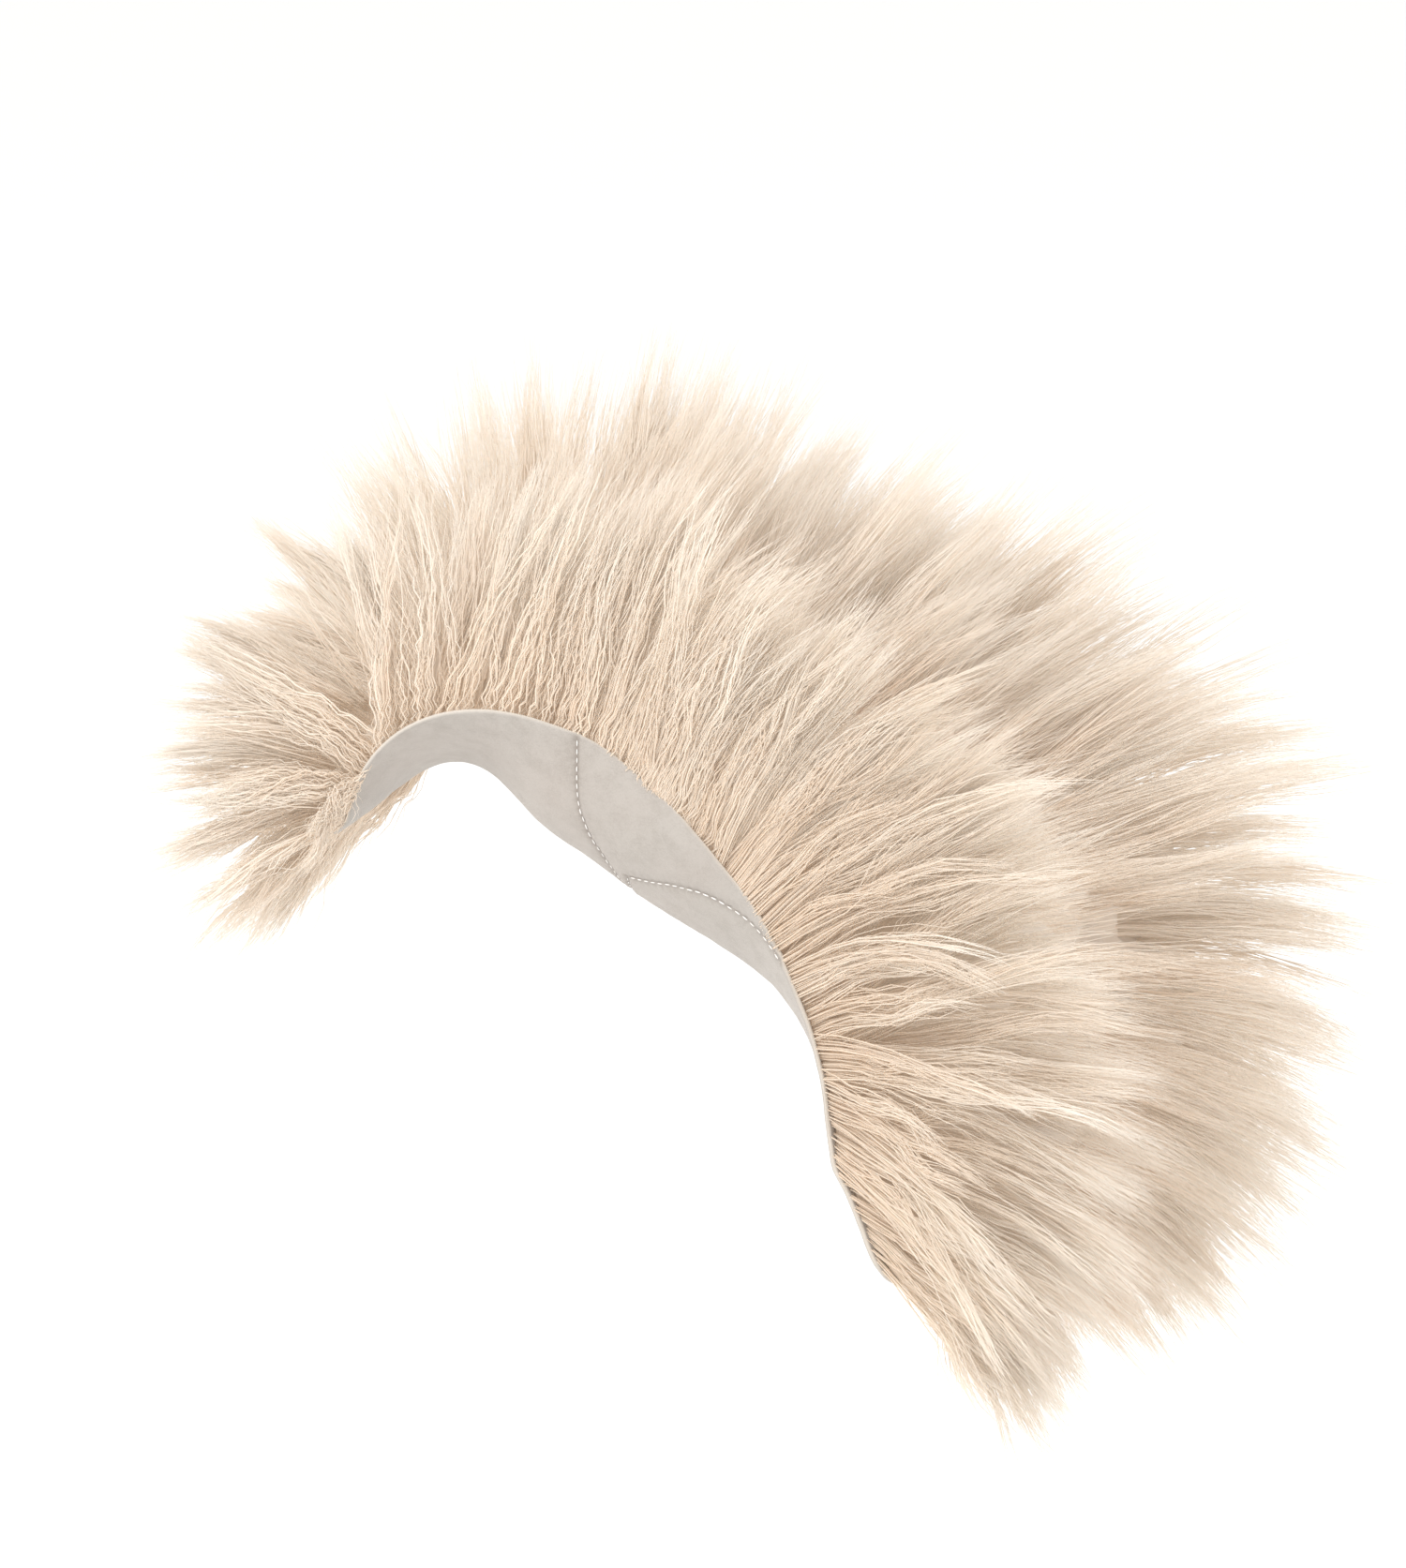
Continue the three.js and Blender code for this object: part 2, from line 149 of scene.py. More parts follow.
@dataclass(frozen=True)
class BentHide:
    """The rule that bends the flat hide: an arch along run, and a curled lip at the held edge."""

    left_end: float = -46.0
    right_end: float = 326.0
    far_edge: float = 300.0
    thickness: float = 2.6
    front_corner: float = 26.0
    back_corner: float = 84.0
    left_slope: Point2 = (42.0, 34.0)
    crown_slope: Point2 = (-36.0, -28.0)
    right_slope: Point2 = (-66.0, -70.0)
    left_bend: tuple[float, float, float] = (-42.0, 84.0, 30.0)
    right_bend: tuple[float, float, float] = (172.0, 110.0, 10.0)
    lip_depth: float = 112.0
    lip_curl: float = 92.0
    lip_span: Point2 = (-30.0, 262.0)
    lip_peak: float = 0.33
    lip_rise: float = 1.3
    lip_fall: float = 1.5
    least_curl: float = 1e-3
    back_shift: Point2 = (-2.0, 8.0)
    corner_cells: int = 6
    grip_run: float = 46.0
    left_fold: float = -12.0
    right_fold: float = 236.0
    steps: int = 32

    def arch_slope(self, run: Array, t: Array) -> Array:
        """The slope of the arch.

        Args:
            run: Places along the arch.
            t: 0 at the held edge and 1 at the far edge.

        Returns:
            The slopes in radians.
        """
        slopes = (self.left_slope, self.crown_slope, self.right_slope)
        left, crown, right = (front + (back - front) * t for front, back in slopes)
        start, width, wider = self.left_bend
        over_left = ease((run - start) / (width + wider * t))
        start, width, sooner = self.right_bend
        over_right = ease((run - start + sooner * t) / width)
        return np.radians(left - (left - crown) * over_left - (crown - right) * over_right)

    def arch_point(self, run: Array, t: Array) -> tuple[Array, Array]:
        """The x and z of points of the arch, measured from its left bend.

        Args:
            run: Places along the arch.
            t: 0 at the held edge and 1 at the far edge.

        Returns:
            x and z.
        """
        step = run / self.steps
        x, z = (shift * t for shift in self.back_shift)
        for i in range(self.steps):
            slope = self.arch_slope((i + 0.5) * step, t)
            x = x + np.cos(slope) * step
            z = z + np.sin(slope) * step
        return x, z

    def curl(self, run: Array) -> Array:
        """The angle in radians that the lip turns through at the held edge."""
        start, end = self.lip_span
        along = np.clip((run - start) / (end - start), 0.0, 1.0)
        rising = np.sin(math.pi / 2 * np.minimum(along / self.lip_peak, 1.0)) ** self.lip_rise
        beyond = np.maximum((along - self.lip_peak) / (1.0 - self.lip_peak), 0.0)
        turned = math.radians(self.lip_curl) * rising * (1.0 - beyond**2) ** self.lip_fall
        return np.maximum(turned, self.least_curl)

    def frame(self, run: Array, depth: Array) -> Placement:
        """Bends points of the suede face.

        Args:
            run: Places along the arch.
            depth: Distances from the held edge.

        Returns:
            Their places, before the grip is moved to the origin, and the directions there.
        """
        run, depth = np.broadcast_arrays(np.asarray(run, float), np.asarray(depth, float))
        curl = self.curl(run)
        left = np.clip(1.0 - depth / self.lip_depth, 0.0, 1.0)
        bend = self.lip_depth / curl
        lift = bend * (1.0 - np.cos(curl * left))
        y = bend * (np.sin(curl) - np.sin(curl * left)) + np.maximum(depth - self.lip_depth, 0.0)
        t = np.clip(y / self.far_edge, 0.0, 1.0)
        x, z = self.arch_point(run, t)
        slope = self.arch_slope(run, t)
        nought = np.zeros_like(slope)
        up = np.stack([-np.sin(slope), nought, np.cos(slope)], axis=-1)
        back = np.array([0.0, 1.0, 0.0])
        tilt = curl * left
        out = up * np.cos(tilt)[..., None] + back * np.sin(tilt)[..., None]
        return Placement(np.stack([x, y, z], axis=-1) + up * lift[..., None], out, slope, t, tilt)

    @cached_property
    def grip(self) -> Array:
        """The place of the grip, which is the origin."""
        return self.frame(np.array([self.grip_run]), np.array([0.0])).place[0]

    def point(self, run: Array, depth: Array, rise: Array | float) -> Array:
        """Points of the bent hide, in millimetres.

        Args:
            run: Places along the arch.
            depth: Distances from the held edge.
            rise: Distances out of the suede face, towards the wool.

        Returns:
            One row of x, y and z for each point.
        """
        at = self.frame(run, depth)
        return at.place - self.grip + at.out * np.asarray(rise, float)[..., None]

    def inside(self, run: Array, depth: Array) -> Array:
        """How far points of the flat hide lie inside its outline, negative outside it.

        Args:
            run: Places along the arch.
            depth: Distances from the held edge.

        Returns:
            The distances to the outline.
        """
        half_run = (self.right_end - self.left_end) / 2.0
        half_depth = self.far_edge / 2.0
        radius = np.where(np.asarray(depth) < half_depth, self.front_corner, self.back_corner)
        over_run = np.abs(run - (self.left_end + half_run)) - half_run + radius
        over_depth = np.abs(depth - half_depth) - half_depth + radius
        corner = np.hypot(np.maximum(over_run, 0.0), np.maximum(over_depth, 0.0))
        return radius - corner - np.minimum(np.maximum(over_run, over_depth), 0.0)

    def depth_span(self, run: Array) -> tuple[Array, Array]:
        """The depths of the held edge and of the far edge, which the round corners draw in at the ends.

        Args:
            run: Places along the arch.

        Returns:
            The depths of the two edges there.
        """
        near_end = np.minimum(run - self.left_end, self.right_end - run)
        front_shy = np.clip(self.front_corner - near_end, 0.0, self.front_corner)
        back_shy = np.clip(self.back_corner - near_end, 0.0, self.back_corner)
        near = self.front_corner - np.sqrt(self.front_corner**2 - front_shy**2)
        far = self.far_edge - self.back_corner + np.sqrt(self.back_corner**2 - back_shy**2)
        return near, far

    def outline(self, step: float) -> list[Point2]:
        """The hide's outline, anticlockwise.

        Args:
            step: The distance between its points.

        Returns:
            Its points, in run and depth.
        """
        corners = (
            (self.left_end, 0.0, self.front_corner, math.pi),
            (self.right_end, 0.0, self.front_corner, 1.5 * math.pi),
            (self.right_end, self.far_edge, self.back_corner, 0.0),
            (self.left_end, self.far_edge, self.back_corner, 0.5 * math.pi),
        )
        arcs = []
        for run, depth, radius, start in corners:
            centre_run = run + math.copysign(radius, self.grip_run - run)
            centre_depth = depth + (radius if depth == 0.0 else -radius)
            count = max(self.corner_cells, round(radius * math.pi / 2 / step))
            for i in range(count + 1):
                angle = start + math.pi / 2 * i / count
                along, across = radius * math.cos(angle), radius * math.sin(angle)
                arcs.append((centre_run + along, centre_depth + across))
        line = []
        for here, there in zip(arcs, arcs[1:] + arcs[:1]):
            count = max(1, round(math.dist(here, there) / step))
            line += [tuple(np.add(here, np.subtract(there, here) * i / count)) for i in range(count)]
        return line


@dataclass(frozen=True)
class Ripple:
    """Smooth noise over the flat hide, as a few seeded waves."""

    seed: int
    wavelength: float
    waves: int = 9
    spread: Point2 = (0.7, 1.7)
    height: float = 0.7

    @cached_property
    def terms(self) -> Array:
        """Each wave's two frequencies and its phase."""
        random = np.random.default_rng(self.seed)
        angle = random.uniform(0.0, 2.0 * math.pi, self.waves)
        size = 2.0 * math.pi / (self.wavelength * random.uniform(*self.spread, self.waves))
        phase = random.uniform(0.0, 2.0 * math.pi, self.waves)
        return np.stack([np.cos(angle) * size, np.sin(angle) * size, phase])

    def at(self, run: Array, depth: Array) -> Array:
        """The noise at points of the flat hide, mostly between -1 and 1."""
        along, across, phase = self.terms
        waves = np.sin(np.multiply.outer(run, along) + np.multiply.outer(depth, across) + phase)
        return waves.sum(axis=-1) / math.sqrt(self.waves / 2.0) * self.height


# ---------------------------------------------------------------- node graphs

Link = "bpy.types.NodeSocket | Value | float | int | bool | str | tuple | bpy.types.Material"


class Value:
    """A socket that carries one number, on which Python's operators add Math nodes."""

    def __init__(self, graph: Graph, socket: bpy.types.NodeSocket) -> None:
        """Wraps an output socket of a graph."""
        self.graph = graph
        self.socket = socket

    def _math(self, operation: str, first: Value | float, second: Value | float) -> Value:
        """A Math node on two numbers."""
        made = self.graph.node("ShaderNodeMath", {"operation": operation}, {0: first, 1: second})
        return Value(self.graph, made.outputs[0])

    def __add__(self, other: Value | float) -> Value:
        """self + other."""
        return self._math("ADD", self, other)

    def __radd__(self, other: float) -> Value:
        """other + self."""
        return self._math("ADD", other, self)

    def __sub__(self, other: Value | float) -> Value:
        """self - other."""
        return self._math("SUBTRACT", self, other)

    def __rsub__(self, other: float) -> Value:
        """other - self."""
        return self._math("SUBTRACT", other, self)

    def __mul__(self, other: Value | float) -> Value:
        """self * other."""
        return self._math("MULTIPLY", self, other)

    def __rmul__(self, other: float) -> Value:
        """other * self."""
        return self._math("MULTIPLY", other, self)

    def clamped(self) -> Value:
        """The number kept between 0 and 1."""
        made = self.graph.node("ShaderNodeClamp", {}, {"Value": self, "Min": 0.0, "Max": 1.0})
        return Value(self.graph, made.outputs[0])


class Graph:
    """A node tree that is filled through one method."""

    def __init__(self, tree: bpy.types.NodeTree) -> None:
        """Starts on an empty tree."""
        self.tree = tree
        tree.nodes.clear()

    def node(
        self, kind: str, settings: dict[str, object], inputs: dict[str | int, Link]
    ) -> bpy.types.Node:
        """Adds one node.

        Args:
            kind: The node's type.
            settings: Its properties, set first. "stops" gives a ramp's places and colours.
            inputs: The value or the link of each socket, by name or by number.

        Returns:
            The node.
        """
        made = self.tree.nodes.new(kind)
        for name, value in settings.items():
            if name == "stops":
                self._set_stops(made.color_ramp, value)
            else:
                setattr(made, name, value)
        for key, value in inputs.items():
            socket = made.inputs[key]
            if isinstance(value, Value):
                value = value.socket
            if isinstance(value, bpy.types.NodeSocket):
                self.tree.links.new(value, socket)
            elif socket.type == "RGBA" and len(value) == 3:
                socket.default_value = (*value, 1.0)
            else:
                socket.default_value = value
        return made

    @staticmethod
    def _set_stops(ramp: bpy.types.ColorRamp, stops: list[tuple[float, Colour]]) -> None:
        """Gives a colour ramp its stops."""
        while len(ramp.elements) < len(stops):
            ramp.elements.new(1.0)
        for element, (place, colour) in zip(ramp.elements, stops):
            element.position = place
            element.color = (*colour, 1.0)


class ShaderGraph(Graph):
    """A material's node tree, with the nodes that several finishes share."""

    def __init__(self, name: str) -> None:
        """Makes a material and empties its tree."""
        self.material = bpy.data.materials.new(name)
        self.material.use_nodes = True
        super().__init__(self.material.node_tree)
        self.place = self.node("ShaderNodeTexCoord", {}, {}).outputs["Object"]

    def attribute(self, name: str) -> Value:
        """A number that each vertex of the mesh carries."""
        settings = {"attribute_type": "GEOMETRY", "attribute_name": name}
        return Value(self, self.node("ShaderNodeAttribute", settings, {}).outputs["Fac"])

    def noise(
        self, scale: float, detail: float = 3.0, roughness: float = 0.55, stretch: Colour | None = None
    ) -> Value:
        """Noise on the object's own coordinates.

        Args:
            scale: Waves in a metre.
            detail: Octaves.
            roughness: How strong the finer octaves are.
            stretch: Scales of x, y and z, where the noise is drawn out.

        Returns:
            The noise, about 0.5.
        """
        place = self.place
        if stretch:
            place = self.node("ShaderNodeMapping", {}, {"Vector": place, "Scale": stretch}).outputs[0]
        inputs = {"Vector": place, "Scale": scale, "Detail": detail, "Roughness": roughness}
        return Value(self, self.node("ShaderNodeTexNoise", {}, inputs).outputs[0])

    def blend(self, share: Value, first: Link, second: Link, mode: str = "MIX") -> bpy.types.NodeSocket:
        """Mixes two colours.

        Args:
            share: How much of the second.
            first: A colour or its socket.
            second: A colour or its socket.
            mode: How they mix.

        Returns:
            The colour's socket.
        """
        settings = {"data_type": "RGBA", "blend_type": mode, "clamp_factor": True}
        made = self.node("ShaderNodeMix", settings, {0: share, 6: first, 7: second})
        return made.outputs[2]

    def bump(self, height: Value, strength: float, distance: float) -> bpy.types.NodeSocket:
        """A bumped normal.

        Args:
            height: The height, from 0 to 1.
            strength: The share of the full bump.
            distance: What a height of 1 stands for, in metres.

        Returns:
            The normal's socket.
        """
        inputs = {"Height": height, "Strength": strength, "Distance": distance}
        return self.node("ShaderNodeBump", {}, inputs).outputs[0]

    def finish(self, surface: bpy.types.NodeSocket) -> bpy.types.Material:
        """Ends the tree on a surface and gives the material."""
        self.node("ShaderNodeOutputMaterial", {}, {"Surface": surface})
        return self.material


class GeometryGraph(Graph):
    """A Geometry Nodes tree with named inputs, used once through a modifier."""

    KINDS = {float: "NodeSocketFloat", int: "NodeSocketInt", bpy.types.Material: "NodeSocketMaterial"}

    def __init__(self, name: str, inputs: dict[str, float | int | bpy.types.Material]) -> None:
        """Makes the tree.

        Args:
            name: The tree's name.
            inputs: The value of each named input.
        """
        super().__init__(bpy.data.node_groups.new(name, "GeometryNodeTree"))
        face = self.tree.interface
        face.new_socket("Geometry", in_out="INPUT", socket_type="NodeSocketGeometry")
        face.new_socket("Geometry", in_out="OUTPUT", socket_type="NodeSocketGeometry")
        self.values = {}
        for key, value in inputs.items():
            kind = self.KINDS[type(value)]
            self.values[face.new_socket(key, in_out="INPUT", socket_type=kind).identifier] = value
        self.given = self.node("NodeGroupInput", {}, {}).outputs

    def named(self, name: str, kind: str = "FLOAT") -> bpy.types.NodeSocket:
        """The attribute of that name."""
        made = self.node("GeometryNodeInputNamedAttribute", {"data_type": kind}, {"Name": name})
        return made.outputs[0]

    def close(self, geometry: bpy.types.NodeSocket) -> None:
        """Ends the tree in plain geometry with its material."""
        real = self.node("GeometryNodeRealizeInstances", {}, {0: geometry}).outputs[0]
        smooth = self.node("GeometryNodeSetShadeSmooth", {}, {0: real}).outputs[0]
        inputs = {0: smooth, "Material": self.given["Material"]}
        dressed = self.node("GeometryNodeSetMaterial", {}, inputs).outputs[0]
        self.node("NodeGroupOutput", {}, {0: dressed})

    def run_on(self, source: bpy.types.Object) -> bpy.types.Mesh:
        """Runs the tree on an object.

        Args:
            source: The object, which is removed.

        Returns:
            The resulting plain mesh.
        """
        modifier = source.modifiers.new("nodes", "NODES")
        modifier.node_group = self.tree
        for identifier, value in self.values.items():
            modifier[identifier] = value
        bpy.context.view_layer.update()
        graph = bpy.context.evaluated_depsgraph_get()
        ready = source.evaluated_get(graph)
        mesh = bpy.data.meshes.new_from_object(ready, preserve_all_data_layers=True, depsgraph=graph)
        source.modifiers.clear()
        spent = source.data
        bpy.data.objects.remove(source)
        bpy.data.meshes.remove(spent)
        bpy.data.node_groups.remove(self.tree)
        return mesh


def new_piece(name: str, mesh: bpy.types.Mesh) -> bpy.types.Object:
    """Puts a mesh into the scene as a piece.

    Args:
        name: The piece's name.
        mesh: Its mesh.

    Returns:
        The piece.
    """
    made = bpy.data.objects.new(name, mesh)
    mesh.name = name
    bpy.context.scene.collection.objects.link(made)
    return made


def set_numbers(mesh: bpy.types.Mesh, **numbers: Array) -> None:
    """Gives each vertex of a mesh its numbers, one attribute for each name."""
    for name, values in numbers.items():
        attribute = mesh.attributes.new(name, "FLOAT", "POINT")
        attribute.data.foreach_set("value", np.ascontiguousarray(values, np.float32))


# ---------------------------------------------------------------- finishes


@dataclass(frozen=True)
class WoolFinish:
    """Long washed wool: bright cream tips, and warmer and darker towards the skin, partly its own colour and
    partly painted shade deep in the fleece.
    """

    name: str = "wool_long_cream"
    tip: Colour = (0.990, 0.955, 0.905)
    middle: Colour = (0.980, 0.920, 0.845)
    root: Colour = (0.955, 0.865, 0.760)
    # deep: the colour that low tones dull towards, for the locks' random dullness and for painted shade in
    # the valley behind the parting and in the underwool.
    deep: Colour = (0.860, 0.690, 0.520)
    yellowed: Colour = (0.980, 0.905, 0.800)
    sheen: Colour = (1.0, 0.96, 0.9)
    middle_from: float = 0.42
    tip_from: float = 0.85
    patches: float = 9.0
    yellowing: float = 0.30
    dulling_and_shading: float = 0.34
    through: float = 0.45
    # glow: a faint emission in the wool's own colour, painted light that brightens the fleece and softens its
    # shade.
    glow: float = 0.10

    def make(self) -> bpy.types.Material:
        """Makes the material."""
        graph = ShaderGraph(self.name)
        share = graph.attribute("share")
        # tone: each lock's random tone, lowered by painted shade in the valley behind the parting and in the
        # underwool.
        tone = graph.attribute("tone")
        # The ramp warms and darkens towards the skin: partly the wool's own colour, partly painted shade deep
        # in the fleece.
        stops = [(0.0, self.root), (self.middle_from, self.middle), (self.tip_from, self.tip)]
        along = graph.node("ShaderNodeValToRGB", {"stops": stops}, {"Fac": share}).outputs[0]
        patch = ((graph.noise(self.patches, 2.0) - 0.42) * 2.2).clamped()
        yellowed = graph.blend(patch * self.yellowing, along, self.yellowed)
        # Low tones dull the colour towards deep: random dullness of the locks, and painted shade where the
        # tone is lowered.
        dulled_and_shaded = graph.blend(((1.0 - tone) * self.dulling_and_shading).clamped(), yellowed, self.deep)
        inputs = {
            "Base Color": dulled_and_shaded,
            "Roughness": 0.62,
            "Specular IOR Level": 0.32,
            "Sheen Weight": 0.25,
            "Sheen Roughness": 0.4,
            "Sheen Tint": self.sheen,
            # Emission in the wool's own colour: painted light.
            "Emission Color": dulled_and_shaded,
            "Emission Strength": self.glow,
        }
        fibre = graph.node("ShaderNodeBsdfPrincipled", {}, inputs).outputs[0]
        glow = graph.node("ShaderNodeBsdfTranslucent", {}, {"Color": dulled_and_shaded}).outputs[0]
        both = graph.node("ShaderNodeMixShader", {}, {0: self.through, 1: fibre, 2: glow})
        return graph.finish(both.outputs[0])


@dataclass(frozen=True)
class SuedeFinish:
    """Warm grey suede with a short mottled nap, a little darker in the seams and pale at the cut edge."""

    name: str = "suede_warm_grey"
    pale: Colour = (0.430, 0.398, 0.366)
    dark: Colour = (0.330, 0.298, 0.268)
    blush: Colour = (0.425, 0.368, 0.335)
    seam: Colour = (0.20, 0.165, 0.14)
    cut: Colour = (0.60, 0.55, 0.49)
    sheen: Colour = (1.0, 0.97, 0.94)
    clouds: float = 14.0
    mottles: float = 95.0
    strokes: float = 420.0
    naps: float = 1500.0

    def make(self) -> bpy.types.Material:
        """Makes the material."""
        graph = ShaderGraph(self.name)
        mottle = ((graph.noise(self.mottles, 4.0, 0.62) - 0.38) * 3.2).clamped()
        nap = graph.noise(self.naps, 3.0, 0.7)
        brushed = graph.noise(self.strokes, 3.0, 0.6, (1.0, 0.45, 1.6))
        cloud = ((graph.noise(self.clouds, 2.0) - 0.45) * 3.0).clamped()
        darker = (mottle * 0.55 + (nap - 0.5) * 1.7 + (brushed - 0.5) * 0.5).clamped()
        ground = graph.blend(darker, self.pale, self.dark)
        blushed = graph.blend(cloud * 0.35, ground, self.blush)
        sewn = graph.blend(graph.attribute("seam_shade") * 0.5, blushed, self.seam)
        trimmed = graph.blend(graph.attribute("cut_edge"), sewn, self.cut)
        height = nap * 0.55 + brushed * 0.35 + mottle * 0.25
        inputs = {
            "Base Color": trimmed,
            "Roughness": 0.92,
            "Specular IOR Level": 0.2,
            "Sheen Weight": 0.35,
            "Sheen Roughness": 0.5,
            "Sheen Tint": self.sheen,
            "Normal": graph.bump(height, 0.85, 0.0006),
        }
        return graph.finish(graph.node("ShaderNodeBsdfPrincipled", {}, inputs).outputs[0])


@dataclass(frozen=True)
class ThreadFinish:
    """White sewing thread with a fine twist."""

    name: str = "thread_white"
    pale: Colour = (0.90, 0.88, 0.85)
    shaded: Colour = (0.66, 0.62, 0.57)
    twists: float = 2600.0

    def make(self) -> bpy.types.Material:
        """Makes the material."""
        graph = ShaderGraph(self.name)
        twist = graph.noise(self.twists, 2.0, 0.5)
        colour = graph.blend(((twist - 0.4) * 2.0).clamped(), self.pale, self.shaded)
        inputs = {
            "Base Color": colour,
            "Roughness": 0.55,
            "Sheen Weight": 0.2,
            "Normal": graph.bump(twist, 0.4, 0.0002),
        }
        return graph.finish(graph.node("ShaderNodeBsdfPrincipled", {}, inputs).outputs[0])


# ---------------------------------------------------------------- seams and suede panels


def smooth_line(corners: list[Point2], step: float) -> Array:
    """A smooth line through its corners.

    Args:
        corners: The points that it passes through, in run and depth.
        step: The distance between its points.

    Returns:
        Its points, the corners among them.
    """
    given = np.array(corners, float)
    padded = np.vstack([2 * given[0] - given[1], given, 2 * given[-1] - given[-2]])
    line = [given[:1]]
    for before, here, there, after in zip(padded, padded[1:], padded[2:], padded[3:]):
        count = max(1, round(float(np.linalg.norm(there - here)) / step))
        u = (np.arange(1, count + 1) / count)[:, None]
        square = 2 * before - 5 * here + 4 * there - after
        cubic = 3 * (here - there) + after - before
        line.append(0.5 * (2 * here + (there - before) * u + square * u**2 + cubic * u**3))
    return np.vstack(line)


STITCH_PITCH = 4.6


@dataclass(frozen=True)
class Seam:
    """One sewn joint between two panels.

    groove is how deep the joint draws in the suede face, sunk how deep its stitches lie, and ends the bare
    stretches before the first stitch and after the last one.
    """

    name: str
    corners: tuple[Point2, ...]
    body: Body = Body.CENTRE
    sunk: float = 0.15
    groove: float = 0.8
    ends: Point2 = (2.5, 2.5)

    def line(self, step: float) -> Array:
        """The seam's points on the flat hide."""
        return smooth_line(list(self.corners), step)


SEAMS = (
    Seam("thumb", ((47, 0), (63, 28), (76, 44), (92, 60), (104, 80), (110, 92)), sunk=0.62, groove=1.0),
    Seam("corner", ((102, 57), (106, 74), (110, 92)), sunk=0.75, groove=1.1, ends=(2.5, 19.0)),
    Seam("rim", ((102, 57), (122, 33), (138, 19), (160, 8), (181, 0)), sunk=0.05),
    Seam("spine", ((110, 92), (112, 132)), sunk=0.3),
    Seam("back_spine", ((112, 132), (104, 222), (103, 234), (98, 300))),
    Seam("left_cross", ((-12, 140), (50, 144), (112, 132))),
    Seam("right_cross", ((112, 132), (170, 122), (236, 128))),
    Seam("left_rear", ((-12, 226), (104, 222))),
    Seam("right_rear", ((103, 234), (236, 238))),
    Seam("left_flap", ((-46, 146), (-12, 140)), Body.LEFT),
    Seam("right_flap", ((236, 128), (326, 152)), Body.RIGHT),
)

PANEL_SEEDS = {
    "thumb": (20.0, 60.0),
    "rim": (100.0, 15.0),
    "front_right": (200.0, 60.0),
    "middle_left": (40.0, 180.0),
    "middle_right": (170.0, 180.0),
    "rear_left": (40.0, 255.0),
    "rear_right": (170.0, 270.0),
    "left_flap_front": (-30.0, 60.0),
    "left_flap_rear": (-30.0, 200.0),
    "right_flap_front": (280.0, 60.0),
    "right_flap_rear": (280.0, 200.0),
}


@dataclass
class Folds:
    """Where each flap's softness starts and ends over the fold line."""

    hide: BentHide
    reach: float = 46.0
    beside: float = 6.0
    samples: int = 60

    def across(self, side: Body) -> tuple[Vector, Vector]:
        """The two points between which a piece turns from the centre to a flap.

        Args:
            side: The flap.

        Returns:
            The start, which no point of the fold line lies beyond, and the end, in metres.
        """
        run = self.hide.left_fold if side is Body.LEFT else self.hide.right_fold
        away = -1.0 if side is Body.LEFT else 1.0
        depths = np.linspace(0.0, self.hide.far_edge, self.samples)
        flush = np.zeros(self.samples)
        fold = self.hide.point(np.full(self.samples, run), depths, flush)
        beyond = self.hide.point(np.full(self.samples, run + away * self.beside), depths, flush)
        across = unit((beyond - fold).mean(axis=0))
        middle = fold.mean(axis=0)
        start = middle + across * float(((fold - middle) @ across).max())
        return Vector(start * MM), Vector((start + across * self.reach) * MM)

    def bend(self, piece: bpy.types.Object, side: Body) -> None:
        """Finds where a piece would turn from the centre to a flap, which nothing uses, and bakes the piece's
        placement into its mesh.
        """
        start, end = self.across(side)
        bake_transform(piece)


